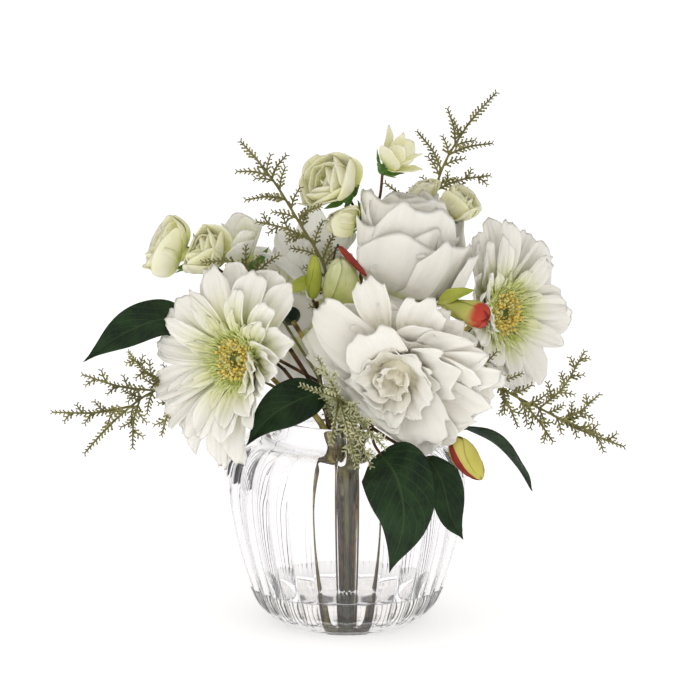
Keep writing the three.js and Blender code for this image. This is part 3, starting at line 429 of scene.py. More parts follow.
petalLook = {
    "colour": (0.93, 0.91, 0.855), "shade": (0.905, 0.88, 0.80), "rootFrom": 0.05,
    "pleats": 3.0, "pleatHeight": 0.8, "glow": 0.3,
}
materials = {
    "strap": petalMaterial("strapPetal", {
        **petalLook, "root": (0.76, 0.79, 0.36), "rootFrom": 0.04, "rootTo": 0.56, "pleats": 4.0}),
    "peony": petalMaterial("peonyPetal", {
        **petalLook, "root": (0.91, 0.87, 0.71), "rootFrom": 0.0, "rootTo": 0.42}),
    "peonyTop": petalMaterial("topPeonyPetal", {
        **petalLook, "root": (0.60, 0.64, 0.20), "rootFrom": 0.02, "rootTo": 0.32, "pleats": 5.0}),
    # A lighter copy of the petal cloth: painted light that lifts the shade on the lily's petals
    "lily": petalMaterial("lilyPetalWithPaintedLight", {
        **petalLook, "colour": (0.97, 0.965, 0.94), "shade": (0.95, 0.94, 0.90),
        "root": (0.86, 0.88, 0.60), "rootTo": 0.3, "glow": 0.08}),
    # A lighter copy of the petal cloth: painted light that lifts the shade on the bell-shaped rose; its green
    # root is the bloom's own colour
    "bell": petalMaterial("bellPetalWithPaintedLight", {
        **petalLook, "colour": (0.97, 0.96, 0.90), "shade": (0.95, 0.94, 0.84),
        "root": (0.74, 0.80, 0.30), "rootTo": 0.72, "glow": 0.08}),
    "cream": petalMaterial("rosePetal", {
        **petalLook, "colour": (0.96, 0.94, 0.71), "shade": (0.93, 0.92, 0.56),
        "root": (0.86, 0.87, 0.30), "rootFrom": 0.1, "rootTo": 0.64, "pleatHeight": 0.4}),
    "leaf": leafMaterial("leaf", {
        "colour": (0.014, 0.040, 0.011), "shade": (0.004, 0.016, 0.006), "vein": (0.055, 0.095, 0.033),
        "veinShare": 0.6, "sideVeins": 9.0, "roughness": 0.46}),
    "stem": plainMaterial("stem", {
        "colour": (0.62, 0.50, 0.14), "shade": (0.13, 0.095, 0.025), "roughness": 0.45, "cloudScale": 160}),
    "brownStem": plainMaterial("brownStem", {
        "colour": (0.15, 0.075, 0.025), "shade": (0.026, 0.014, 0.006),
        "roughness": 0.45, "cloudScale": 160}),
    "sepal": leafMaterial("sepal", {
        "colour": (0.17, 0.32, 0.07), "shade": (0.09, 0.22, 0.045), "vein": (0.30, 0.42, 0.14),
        "veinShare": 0.4, "sideVeins": 5.0, "roughness": 0.5}),
    "fern": plainMaterial("fern", {
        "colour": (0.23, 0.21, 0.075), "shade": (0.10, 0.095, 0.035), "roughness": 0.6, "cloudScale": 40}),
    "fernTip": plainMaterial("fernTip", {
        "colour": (0.33, 0.31, 0.12), "shade": (0.12, 0.115, 0.04), "roughness": 0.6, "cloudScale": 120}),
    "paleFern": plainMaterial("paleFern", {
        "colour": (0.58, 0.58, 0.36), "shade": (0.24, 0.26, 0.12), "roughness": 0.6, "cloudScale": 120}),
    "fringe": plainMaterial("fringe", {
        "colour": (0.76, 0.78, 0.40), "shade": (0.55, 0.62, 0.18), "roughness": 0.6, "cloudScale": 200}),
    "stamen": plainMaterial("stamen", {
        "colour": (0.78, 0.55, 0.09), "shade": (0.76, 0.68, 0.26), "roughness": 0.6, "cloudScale": 240}),
    "eyeHole": plainMaterial("eyeHole", {
        "colour": (0.18, 0.22, 0.06), "shade": (0.09, 0.13, 0.03), "roughness": 0.6}),
    "budGreen": plainMaterial("greenBud", {
        "colour": (0.56, 0.58, 0.23), "shade": (0.40, 0.46, 0.11), "roughness": 0.5,
        "tip": (0.68, 0.70, 0.42), "tipFrom": 0.5, "tipTo": 1.1}),
    "budSlim": plainMaterial("slimBud", {
        "colour": (0.44, 0.47, 0.08), "shade": (0.33, 0.38, 0.05), "roughness": 0.5}),
    "budRed": plainMaterial("redBud", {
        "colour": (0.50, 0.50, 0.14), "shade": (0.40, 0.42, 0.09), "roughness": 0.5,
        "tip": (0.46, 0.05, 0.03), "tipFrom": 0.84, "tipTo": 1.06}),
    "budLow": plainMaterial("lowBud", {
        "colour": (0.64, 0.58, 0.15), "shade": (0.55, 0.50, 0.10), "roughness": 0.5}),
    "bract": plainMaterial("redBract", {
        "colour": (0.34, 0.04, 0.028), "shade": (0.22, 0.03, 0.02), "roughness": 0.5}),
    "glass": clearMaterial("clearGlass", (0.985, 0.98, 0.995), 1.47),
    "resin": clearMaterial("clearResin", (0.99, 0.99, 0.98), 1.42),
}
print("materials made")


# The planes between neighbouring blooms: away points from the first to the second
planes = {
    "gerberaLeftToPeony": ((-22, -60, 155), (0.95, 0.3, 0)),
    "peonyToTopPeony": ((30, -36, 190.5), (0.34, 0.38, 0.86)),
    "topPeonyFromPeony": ((30, -36, 193.8), (0.34, 0.38, 0.86)),
    "peonyToGerberaRight": ((60, -17.5, 167), (0.685, 0.65, 0.325)),
    "topPeonyToGerberaRight": ((55, 4, 196), (0.61, 0.61, -0.51)),
    "gerberaLeftToLily": ((-39, -20, 184.6), (0.5, 0.61, 0.61)),
    "lilyToTopPeony": ((8.5, -6, 208), (0.95, -0.26, 0.1)),
    "peonyToVase": ((0, -75, 100), (0, 0.43, -0.9)),
    "peonyToFern": ((-3.3, -49.6, 143), (-0.7, -0.35, -0.62)),
    "peonyToRedBud": ((63, -54, 180), (0.35, -0.1, 0.93)),
    "peonyToLowBud": ((61.5, -62, 115.5), (0.6, 0.2, -0.77)),
    "peonyToGreenBud": ((-3, -38, 182), (-0.2, 0.8, 0.56)),
    "gerberaRightToFern": ((76, -26, 154), (-0.5, -0.3, -0.8)),
    "roseToBud": ((-4, -1, 237.5), (0.3, -0.2, -0.93)),
    "lilyToRose": ((-50, 3, 209), (-0.9, 0.2, 0.35)),
    "roseToFarLeft": ((-88.5, 3, 209), (-0.9, 0.35, 0.2)),
    "roseToHigh": ((51.5, 22, 238), (-0.8, 0.3, 0.45)),
    "lilyFront": ((0, -2, 200), (0, -1, 0)),
    "backFront": ((0, 33, 160), (0, -1, 0)),
}
squeezeDepth = 9
planeRoom = 0.5


def before(*names):
    return [(np.array(planes[n][0], float), unit(planes[n][1])) for n in names]


def behind(*names):
    return [(at, -away) for at, away in before(*names)]


def squeeze(points, limits):
    for at, normal in limits:
        room = (at - points) @ normal - planeRoom
        pressed = squeezeDepth * np.exp(np.minimum((room - squeezeDepth) / squeezeDepth, 0))
        move = np.where(room < squeezeDepth, room - pressed, 0)
        points = points + move[..., None] * normal
    return points


def petalHalfWidth(reach, petal):
    widest, neck, tip = petal["widest"], petal["neck"], petal["tip"]
    low = neck + (1 - neck) * np.sin(math.pi / 2 * np.clip(reach / widest, -1, 1))
    high = 1 - (1 - tip) * ((reach - widest) / (1 - widest)) ** 2
    return 0.5 * np.where(reach < widest, low, high)


# The middle surface of one petal. fine adds the pleats, the crinkled rim and the small notches
def petalSurface(place, petal, limits, fine):
    turn = petal["azimuth"]
    radial = place["right"] * math.cos(turn) + place["up"] * math.sin(turn)
    side = np.cross(place["axis"], radial)
    bend = petal["tilt1"] - petal["tilt0"]
    phase = petal["phase"]

    def surface(s, t):
        teeth = fine["teeth"] * (0.5 - 0.5 * np.cos(fine["toothCount"] * t + 2.3 * phase))
        lobes = petal["notch"] * (0.5 - 0.5 * np.cos(fine["lobes"] * t + phase)) ** 1.5
        cut = petal["point"] * np.abs(t) ** 2.2 + lobes + teeth + fine["rounding"] * np.abs(t) ** 4
        reach = s * (1 - cut)
        tilt = petal["tilt0"] + bend * reach
        out = petal["root"] + petal["length"] * (np.sin(tilt) - math.sin(petal["tilt0"])) / bend
        rise = petal["lift"] + petal["length"] * (math.cos(petal["tilt0"]) - np.cos(tilt)) / bend
        x = petal["width"] * petalHalfWidth(reach, petal) * t
        curl = petal["cup"] * x
        ripple = np.sin(4.5 * t + 5 * reach + phase)
        waved = petal["wave"] * reach**2 * (0.35 + 0.65 * t * t) * ripple
        inside = np.sin(math.pi * np.clip(0.06 + 0.9 * reach, 0, 1)) ** 0.6
        pleat = fine["pleatDepth"] * np.cos(math.pi * fine["pleats"] * t + 0.6 * phase) * inside
        crinkle = fine["crinkle"] * reach**3 * (0.3 + 0.7 * np.abs(t))
        crinkle *= np.sin(12 * t + 6 * reach + 3 * phase)
        ruffle = fine["ruffle"] * reach**5 * np.sin(7 * t - 3 * reach + 2 * phase)
        curlBack = -petal["rollBack"] * petal["length"] * np.clip(reach - 0.6, 0, 1) ** 2 * 6.25
        crumple = fine["crumple"] * inside * np.sin(8 * reach + 4 * t + 3 * phase)
        crumple *= np.cos(5 * t - 6 * reach + phase)
        raised = 0.5 * curl * x + waved + petal["twist"] * x + pleat + crinkle + ruffle + curlBack + crumple
        aside = x * (1 - curl * curl / 6) + petal["sway"] * petal["length"] * reach**2
        shape = s.shape + (1,)
        points = place["centre"] + (out - np.sin(tilt) * raised).reshape(shape) * radial
        points = points + (rise + np.cos(tilt) * raised).reshape(shape) * place["axis"]
        return squeeze(points + aside.reshape(shape) * side, limits)

    return surface


# Every petal of a bloom, ring by ring, each a little off its neighbours
def petalsOf(bloom):
    draw = seededDraw(bloom["seed"])
    lean = {"azimuth": 0, "amount": 0, "shorten": 0, "grow": 0, "growAt": 0, **bloom.get("lean", {})}

    def spread():
        return 2 * draw() - 1

    def towards(azimuth, side):
        return max(0, math.cos(math.radians(azimuth - side)))

    sameForRing = ("root", "lift", "cup", "wave", "notch", "widest", "neck", "tip")
    petals = []
    for ring in bloom["rings"]:
        jitter, tumble = ring["jitter"], ring.get("tumble", 4)
        for i in range(ring["count"]):
            azimuth = 360 * i / ring["count"] + ring["turn"] + jitter * spread() * (60 / ring["count"])
            facing = towards(azimuth, lean["azimuth"])
            raisedBy = ring.get("lean", 1) * lean["amount"] * facing**2 + tumble * jitter * spread()
            petal = {key: ring[key] for key in sameForRing}
            petal["azimuth"] = math.radians(azimuth)
            petal["length"] = ring["length"] * (1 + 0.13 * jitter * spread()) * (1 - lean["shorten"] * facing)
            petal["length"] *= 1 + lean["grow"] * towards(azimuth, lean["growAt"])
            petal["width"] = ring["width"] * (1 + 0.15 * jitter * spread())
            petal["tilt0"] = math.radians(ring["tilt0"] + raisedBy)
            petal["tilt1"] = math.radians(ring["tilt1"] + raisedBy + 2 * tumble * jitter * spread())
            petal["sway"] = 0.14 * jitter * spread()
            petal["phase"] = 6.28 * draw()
            petal["point"] = ring["point"] * (1 + 0.5 * jitter * spread())
            petal["twist"] = ring["overlap"] + 0.16 * jitter * spread()
            petal["rollBack"] = ring.get("rollBack", 0.02) * (1 + jitter * spread())
            petals.append(petal)
    for k, placed in enumerate(bloom.get("placed", [])):
        turned = {key: math.radians(placed[key]) for key in ("azimuth", "tilt0", "tilt1")}
        petals.append({"sway": 0, "phase": 1.3 + 1.9 * k, "rollBack": 0.05, **placed, **turned})
    return petals


def makeBloom(name, bloom, core, material, fine):
    place = bloomFrame(bloom["centre"], bloom["facing"])
    parts = [turnedPart(core, 24, place)]
    deep = parts[0][0] @ place["axis"] < place["centre"] @ place["axis"] - 1
    parts[0][2][:] = np.where(deep, 1, 0)[:, None]  # root colour above, petal colour below
    petals = petalsOf(bloom)
    longest = max(petal["length"] for petal in petals)
    for petal in petals:
        surface = petalSurface(place, petal, [] if petal.get("free") else bloom.get("limits", []), fine)
        part = bladePart(surface, fine["rows"], fine["columns"], fine["thickness"])
        part[2][:, 1] *= petal["length"] / longest
        parts.append(part)
    makePiece(f"{name}Fine", parts, material, [name])


# Gerberas
strap = {"widest": 0.62, "neck": 0.4, "notch": 0.06, "overlap": 0.17, "jitter": 1.0, "wave": 1.9}


# Three rings of straps, a ring of short ones, and thin strips that lie over the rim of the eye
def gerberaRings(reach, counts):
    return [
        {**strap, "count": counts[0], "turn": 0, "root": 12, "lift": -4.4, "length": reach - 11,
         "width": 4.5 * reach / counts[0], "tilt0": 9, "tilt1": -14, "cup": 0.05, "point": 0.1, "tip": 0.76},
        {**strap, "count": counts[1], "turn": 14, "root": 12, "lift": -2.4, "length": reach - 14,
         "width": 3.6 * reach / counts[1], "tilt0": 21, "tilt1": -4, "cup": 0.06, "point": 0.12, "tip": 0.72,
         "tumble": 6},
        {**strap, "count": counts[2], "turn": 5, "root": 12.2, "lift": -1.4, "length": 0.6 * reach,
         "width": 2.3 * reach / counts[2], "tilt0": 32, "tilt1": 4, "cup": 0.07, "point": 0.2, "tip": 0.5,
         "tumble": 8},
        {**strap, "count": counts[3], "turn": 15, "root": 12.6, "lift": -0.6, "length": 0.36 * reach,
         "width": 7.5, "tilt0": 50, "tilt1": 20, "lean": 0.6, "cup": 0.09, "point": 0.3, "tip": 0.35,
         "tumble": 8},
        {**strap, "count": counts[4], "turn": 0, "root": 12.8, "lift": 0.4, "length": 12, "width": 2.4,
         "tilt0": 52, "tilt1": 14, "lean": 0.3, "cup": 0.1, "wave": 0.6, "point": 0.4, "tip": 0.3,
         "tumble": 14},
    ]


gerberas = {
    "gerbera_left": {
        "centre": (-60, -46, 159), "facing": (-0.63, -0.76, 0.1), "seed": 11,
        "rings": gerberaRings(56, (14, 11, 9, 9, 26)),
        "lean": {"azimuth": -24, "amount": 42, "shorten": 0.24, "grow": 0.22, "growAt": 215},
        "limits": before("gerberaLeftToPeony", "gerberaLeftToLily"),
        "stem": [(-34, -24, 136)], "slot": (8.6, 214, 15)},
    "gerbera_right": {
        "centre": (87, 8, 175), "facing": (0.68, -0.73, 0.07), "seed": 12,
        "rings": gerberaRings(54, (12, 10, 8, 8, 22)),
        "lean": {"azimuth": 180, "amount": 24},
        "limits": behind("peonyToGerberaRight", "topPeonyToGerberaRight") + before("gerberaRightToFern"),
        "stem": [(44, 10, 142)], "slot": (8.6, 14, 15)},
    "gerbera_back": {
        "centre": (-34, 50, 168), "facing": (-0.25, 0.93, 0.26), "seed": 13,
        "rings": gerberaRings(50, (12, 9, 8, 8, 20)),
        "limits": before("backFront"), "stem": [(-14, 24, 138)], "slot": (8.6, 104, 15)},
}
hanging = {
    **strap, "root": 12, "lift": -2, "width": 17, "tilt0": 14, "tilt1": -28, "cup": 0.06, "point": 0.1,
    "tip": 0.75, "twist": 0.15,
}
gerberas["gerbera_left"]["placed"] = [
    {**hanging, "azimuth": -88, "length": 52, "width": 15},
    {**hanging, "azimuth": -104, "length": 58},
    {**hanging, "azimuth": -124, "length": 62, "width": 19},
    {**hanging, "azimuth": -142, "length": 62, "width": 20, "tilt1": -20},
    {**hanging, "azimuth": -158, "length": 58, "width": 19, "tilt1": -10},
    {**hanging, "azimuth": 180, "length": 52, "tilt1": -10},
    {**hanging, "azimuth": 160, "length": 48, "tilt1": -8},
]
gerberaCore = [(0, -6), (12, -6), (17, -3), (15.5, 0), (0, 0)]
gerberaFine = {
    "rows": 20, "columns": 17, "thickness": 0.6, "pleats": 3, "pleatDepth": 0.85, "crinkle": 0.55,
    "teeth": 0.015, "toothCount": 9, "rounding": 0.1, "lobes": 4, "ruffle": 0.5, "crumple": 0.4,
}
for name, bloom in gerberas.items():
    makeBloom(f"{name}_petals", bloom, gerberaCore, materials["strap"], gerberaFine)
print("gerberas made")


# Peonies and the lily
broad = {
    "widest": 0.64, "neck": 0.28, "overlap": 0.14, "jitter": 1.0, "wave": 3, "notch": 0.14, "point": 0.09,
}
full = {
    **broad, "jitter": 0.7, "wave": 2.4, "notch": 0.07, "widest": 0.68, "neck": 0.5, "point": 0.03,
    "tip": 1.0,
}
slender = {**broad, "jitter": 0.6, "widest": 0.5, "notch": 0, "point": 0.3, "tip": 0.35, "wave": 1}
peonyFront = {
    "centre": (29, -36, 153), "facing": (-0.16, -0.97, -0.13), "seed": 21,
    "lean": {"azimuth": 72, "amount": 10, "shorten": 0.32},
    "limits": behind("gerberaLeftToPeony") + before(
        "peonyToGerberaRight", "peonyToVase", "peonyToFern", "peonyToRedBud", "peonyToLowBud",
        "peonyToGreenBud"),
    "rings": [
        {**broad, "count": 7, "turn": 20, "root": 9, "lift": -4, "length": 58, "width": 50, "tilt0": 36,
         "tilt1": -14, "cup": 0.012, "tip": 0.9, "tumble": 4},
        {**broad, "count": 6, "turn": 46, "root": 9, "lift": 0, "length": 52, "width": 44, "tilt0": 46,
         "tilt1": 0, "cup": 0.02, "tip": 0.88, "tumble": 6},
        {**broad, "count": 5, "turn": 10, "root": 9, "lift": 5, "length": 43, "width": 38, "tilt0": 56,
         "tilt1": 20, "cup": 0.03, "tip": 0.85, "tumble": 8, "rollBack": 0.08},
        {**broad, "count": 5, "turn": 35, "root": 8, "lift": 8, "length": 35, "width": 30, "tilt0": 64,
         "tilt1": 36, "cup": 0.04, "tip": 0.8, "tumble": 12, "rollBack": 0.1},
        {**broad, "count": 4, "turn": 5, "root": 6, "lift": 10, "length": 26, "width": 23, "tilt0": 60,
         "tilt1": 50, "cup": 0.06, "wave": 2.2, "tip": 0.7, "tumble": 18, "rollBack": 0.14},
        {**broad, "count": 4, "turn": 50, "root": 3, "lift": 12, "length": 20, "width": 17, "tilt0": 66,
         "tilt1": 62, "cup": 0.09, "wave": 1.6, "tip": 0.6, "tumble": 18, "rollBack": 0.12},
    ],
}
placedPetal = {
    "root": 9, "lift": 8, "cup": 0.02, "wave": 2.4, "notch": 0.1, "widest": 0.66, "neck": 0.35, "tip": 0.85,
    "point": 0.07, "twist": 0.1,
}
peonyFront["placed"] = [
    {**placedPetal, "azimuth": 104, "root": 24, "lift": 14, "length": 36, "width": 20, "tilt0": 16,
     "tilt1": 4, "cup": 0.05, "wave": 1.2, "notch": 0.04, "free": True},
    {**placedPetal, "azimuth": 112, "lift": 13, "length": 34, "width": 38, "tilt0": 66, "tilt1": 18,
     "cup": 0.04, "rollBack": 0.14},
    {**placedPetal, "azimuth": 138, "root": 6, "lift": 7, "length": 62, "width": 32, "tilt0": 46,
     "tilt1": -6, "cup": 0.045, "twist": 0.45, "notch": 0.05},
    {**placedPetal, "azimuth": 66, "root": 18, "lift": 12, "length": 36, "width": 27, "tilt0": 26,
     "tilt1": 10, "cup": 0.035, "notch": 0.08, "free": True},
    {**placedPetal, "azimuth": 46, "root": 16, "length": 36, "width": 25, "tilt0": 24, "tilt1": 6,
     "cup": 0.03, "free": True},
    {**placedPetal, "azimuth": 30, "root": 10, "lift": 9, "length": 52, "width": 34, "tilt0": 36, "tilt1": 2},
    {**placedPetal, "azimuth": 4, "lift": 9, "length": 55, "width": 34, "tilt0": 34, "tilt1": -4,
     "notch": 0.2},
    {**placedPetal, "azimuth": -28, "length": 54, "width": 36, "tilt0": 34, "tilt1": -6, "notch": 0.22},
    {**placedPetal, "azimuth": -60, "length": 62, "width": 36, "tilt0": 32, "tilt1": -8, "notch": 0.24},
    {**placedPetal, "azimuth": -94, "lift": 7, "length": 55, "width": 34, "tilt0": 34, "tilt1": -4,
     "notch": 0.22},
    {**placedPetal, "azimuth": 196, "lift": 6, "length": 38, "width": 20, "tilt0": 30, "tilt1": 0},
]
peonyTop = {
    "centre": (24, -3, 184), "facing": (0.2, 0.04, 0.98), "seed": 22, "lean": {"azimuth": 0, "amount": 14},
    "limits": behind("topPeonyFromPeony", "lilyToTopPeony"),
    "rings": [
        {**full, "count": 5, "turn": 20, "root": 10, "lift": -1, "length": 46, "width": 60, "tilt0": 10,
         "tilt1": 104, "cup": 0.024, "rollBack": 0.1, "tumble": 4},
        {**full, "count": 4, "turn": 53, "root": 9, "lift": 1, "length": 56, "width": 70, "tilt0": 18,
         "tilt1": 112, "cup": 0.024, "rollBack": 0.12, "tumble": 5},
        {**full, "count": 4, "turn": 5, "root": 9, "lift": 5, "length": 59, "width": 62, "tilt0": 28,
         "tilt1": 122, "cup": 0.026, "rollBack": 0.12, "tumble": 5},
        {**full, "count": 5, "turn": 18, "root": 8, "lift": 11, "length": 54, "width": 50, "tilt0": 38,
         "tilt1": 128, "cup": 0.028, "rollBack": 0.14, "tumble": 7, "wave": 3},
        {**full, "count": 5, "turn": 50, "root": 6, "lift": 22, "length": 38, "width": 38, "tilt0": 50,
         "tilt1": 114, "cup": 0.034, "wave": 3, "notch": 0.08, "rollBack": 0.16, "tumble": 12},
    ],
}
shell = {
    **placedPetal, "lift": 0, "notch": 0.07, "point": 0.03, "tip": 1.0, "neck": 0.55, "twist": 0.08,
    "cup": 0.024, "rollBack": 0.08,
}
peonyTop["placed"] = [
    {**shell, "azimuth": 276, "length": 57, "width": 68, "tilt0": 6, "tilt1": 112, "rollBack": 0.06},
    {**shell, "azimuth": 322, "length": 60, "width": 56, "tilt0": 4, "tilt1": 114},
    {**shell, "azimuth": 354, "root": 11, "lift": -2, "length": 62, "width": 58, "tilt0": -2, "tilt1": 118,
     "cup": 0.022},
]
lily = {
    "centre": (-18, 12, 186), "facing": (-0.12, -0.2, 0.97), "seed": 31,
    "limits": behind("gerberaLeftToLily") + before("lilyToTopPeony", "lilyFront", "lilyToRose"),
    "rings": [
        {**slender, "count": 3, "turn": 80, "root": 3, "lift": 0, "length": 54, "width": 26, "tilt0": 62,
         "tilt1": 22, "cup": 0.03},
        {**slender, "count": 3, "turn": 20, "root": 2.5, "lift": 1, "length": 52, "width": 30, "tilt0": 72,
         "tilt1": 34, "cup": 0.035},
    ],
}
peonyFine = {
    "rows": 24, "columns": 25, "thickness": 0.5, "pleats": 4, "pleatDepth": 0.5, "crinkle": 1.2,
    "teeth": 0.035, "toothCount": 15, "rounding": 0.06, "lobes": 6, "ruffle": 2.4, "crumple": 0.6,
}
peonyTopFine = {
    **peonyFine, "teeth": 0.012, "lobes": 5, "ruffle": 2.6, "crinkle": 1.1, "rounding": 0.2, "crumple": 0.7,
}
peonyCore = [(0, -7), (9, -6.4), (14.5, -1), (13.5, 7), (8.5, 13.5), (0, 16)]
peonyTopCore = [(0, -5), (8, -2), (13, 8), (15, 22), (10, 36), (0, 42)]
lilyCore = [(0, -5), (5, -2), (6, 5), (0, 8)]
lilyFine = {**gerberaFine, "teeth": 0}
makeBloom("peony_front_petals", peonyFront, peonyCore, materials["peony"], peonyFine)
makeBloom("peony_top_petals", peonyTop, peonyTopCore, materials["peonyTop"], peonyTopFine)
makeBloom("lily_petals", lily, lilyCore, materials["lily"], lilyFine)
print("peonies and lily made")


# Small roses
roses = {
    "rose_large": {
        "centre": (-3, 5, 244.5), "facing": (-0.6, -0.66, 0.44), "seed": 41, "size": 12.5, "open": 0.75,
        "limits": before("roseToBud")},
    "rose_bud": {
        "centre": (4, -5, 231), "facing": (-0.85, -0.3, 0.3), "seed": 42, "size": 9.5, "open": 0,
        "limits": behind("roseToBud")},
    "rose_tip": {
        "centre": (23, 3, 260), "facing": (0.66, -0.3, 0.68), "seed": 43, "size": 10, "open": 0.6,
        "slender": True},
    "rose_left": {
        "centre": (-77, 1, 206), "facing": (-0.45, -0.6, 0.66), "seed": 44, "size": 11, "open": 0.6,
        "limits": before("roseToFarLeft")},
    "rose_far_left": {
        "centre": (-91, 8, 208), "facing": (-0.85, -0.1, 0.45), "seed": 45, "size": 12, "open": 0.8,
        "limits": behind("roseToFarLeft")},
    "rose_bell": {
        "centre": (-56, 8, 206), "facing": (-0.22, -0.3, 0.93), "seed": 46, "size": 13, "open": 0.35,
        "slender": True, "colour": "bell", "limits": behind("lilyToRose")},
    "rose_right": {
        "centre": (58, 21, 230), "facing": (0.55, -0.25, 0.8), "seed": 47, "size": 9.5, "open": 0.45,
        "limits": before("roseToHigh")},
    "rose_high": {
        "centre": (46, 26, 235), "facing": (-0.2, -0.1, 1), "seed": 48, "size": 7.5, "open": 0.3,
        "limits": behind("roseToHigh")},
}
roseFine = {
    "rows": 16, "columns": 15, "thickness": 0.4, "pleats": 2, "pleatDepth": 0.1, "crinkle": 0.15,
    "teeth": 0.0, "toothCount": 9, "rounding": 0.14, "lobes": 3, "ruffle": 0.4, "crumple": 0.15,
}


# A half-open small bloom of pointed petals
def slenderRings(size, openShare):
    pointed = {
        **broad, "jitter": 0.5, "notch": 0, "wave": 0.05 * size, "widest": 0.55, "neck": 0.5,
        "overlap": 0.12, "point": 0.2, "tip": 0.5,
    }
    spread = 50 * openShare
    return [
        {**pointed, "count": 4, "turn": 0, "root": 0.2 * size, "lift": -0.05 * size, "length": 2.05 * size,
         "width": 1.7 * size, "tilt0": 30, "tilt1": 100 - spread, "cup": 0.55 / size, "rollBack": 0.05},
        {**pointed, "count": 3, "turn": 50, "root": 0.16 * size, "lift": 0.1 * size, "length": 1.8 * size,
         "width": 1.3 * size, "tilt0": 52, "tilt1": 104 - 0.5 * spread, "cup": 0.8 / size, "rollBack": 0.03},
    ]


# A rose's five rings of cupped petals, each shorter, narrower and more closed than the one outside it
def roseRings(size, openShare):
    cupped = {
        **broad, "jitter": 0.4, "notch": 0.02, "wave": 0.03 * size, "widest": 0.68, "neck": 0.6,
        "overlap": 0.1, "point": 0.05, "tip": 0.95,
    }
    spread = 36 * openShare
    return [
        {**cupped, "count": 4, "turn": 0, "root": 0.24 * size, "lift": -0.05 * size, "length": 2.1 * size,
         "width": 2.6 * size, "tilt0": 6, "tilt1": 150 - 1.5 * spread, "cup": 0.3 / size, "rollBack": 0.06},
        {**cupped, "count": 4, "turn": 40, "root": 0.24 * size, "lift": 0.05 * size, "length": 1.95 * size,
         "width": 2.2 * size, "tilt0": 14, "tilt1": 154 - 1.3 * spread, "cup": 0.36 / size, "rollBack": 0.05},
        {**cupped, "count": 4, "turn": 10, "root": 0.22 * size, "lift": 0.15 * size, "length": 1.75 * size,
         "width": 1.9 * size, "tilt0": 24, "tilt1": 157 - 1.1 * spread, "cup": 0.45 / size, "rollBack": 0.04},
        {**cupped, "count": 3, "turn": 40, "root": 0.2 * size, "lift": 0.22 * size, "length": 1.5 * size,
         "width": 1.7 * size, "tilt0": 36, "tilt1": 160 - 0.9 * spread, "cup": 0.55 / size, "rollBack": 0.02},
        {**cupped, "count": 3, "turn": 5, "root": 0.16 * size, "lift": 0.3 * size, "length": 1.2 * size,
         "width": 1.3 * size, "tilt0": 50, "tilt1": 164 - 0.6 * spread, "cup": 0.8 / size, "rollBack": 0.02},
    ]


def roseHeart(size):
    shoulder = [(0.34, 0), (0.3, 0.3), (0.2, 0.6), (0.08, 0.85), (0, 0.9)]
    return [(0, 0.35 - 0.28 * size), *((r * size, z * size) for r, z in shoulder)]


for name, rose in roses.items():
    rings = slenderRings if rose.get("slender") else roseRings
    bloom = {**rose, "rings": rings(rose["size"], rose["open"])}
    colour = materials[rose.get("colour", "cream")]
    makeBloom(name, bloom, roseHeart(rose["size"]), colour, roseFine)
print("roses made")


# Stems: each starts in the bundle, upright in the resin, and leaves the neck
resin = {"top": 21.5, "stemFloor": 8, "wallFrom": 9, "intoGlass": 0.2}
bundle = {"narrowed": 0.8, "uprightTo": 62, "neck": 112, "stemShare": 0.9}


def below(bloom, depth):
    place = bloomFrame(bloom["centre"], bloom["facing"])
    return tuple(place["centre"] - place["axis"] * depth)


# The start of every stem: upright in the resin at its slot's radius and angle, then out to the neck
def inBundle(slot):
    radius, degrees, neckRadius = slot
    c, s = math.cos(math.radians(degrees)), math.sin(math.radians(degrees))
    x, y = radius * bundle["narrowed"] * c, radius * bundle["narrowed"] * s
    return [(x, y, resin["stemFloor"]), (x, y, bundle["uprightTo"]),
            (neckRadius * c, neckRadius * s, bundle["neck"])]


def stemPart(points, radius, count=40, taper=1.0):
    foot = radius * bundle["stemShare"]
    return tubePart(smoothLine(points, count), np.linspace(foot, foot * taper, count + 1), 10)


# The green calyx under a bloom, depth below its middle
def coneUnder(bloom, radius, depth):
    outline = [(0, 1), (0.2, 0.98), (0.42, 0.8), (0.8, 0.25), (1, 0), (0, 0)]
    profile = [(r * radius, -depth - drop * radius) for r, drop in outline]
    return turnedPart(profile, 20, bloomFrame(bloom["centre"], bloom["facing"]))


# A rose's green receptacle and its pointed sepals
def sepalParts(spec, size, count=5):
    place = bloomFrame(spec["centre"], spec["facing"])
    knob = [(0, -0.72), (0.2, -0.66), (0.34, -0.52), (0.4, -0.38), (0.3, -0.28), (0, -0.27)]
    parts = [turnedPart([(r * size, z * size) for r, z in knob], 14, place)]
    plain = {**roseFine, "pleatDepth": 0, "crinkle": 0.3, "teeth": 0}
    sepal = {
        "root": 0.16 * size, "lift": -0.38 * size, "length": 1.05 * size, "width": 0.55 * size,
        "tilt0": math.radians(-8), "tilt1": math.radians(82), "cup": 1.1 / size, "twist": 0.1,
        "rollBack": 0.2, "sway": 0, "wave": 0.3, "notch": 0, "point": 0.5, "widest": 0.42, "neck": 0.4,
        "tip": 0.25,
    }
    for i in range(count):
        turned = {**sepal, "azimuth": 2 * math.pi * (i + 0.3) / count, "phase": 1.7 * i}
        parts.append(bladePart(petalSurface(place, turned, [], plain), 9, 7, 0.5))
    return parts


def stemPiece(name, parts, material):
    makePiece(f"{name}Fine", parts, material, [name])


for name, bloom in gerberas.items():
    points = inBundle(bloom["slot"]) + bloom["stem"] + [below(bloom, 13)]
    stemPiece(f"{name}_stem", [stemPart(points, 1.6)], materials["stem"])
    makePiece(f"{name}_calyx", [coneUnder(bloom, 6, 6.35)], materials["leaf"])

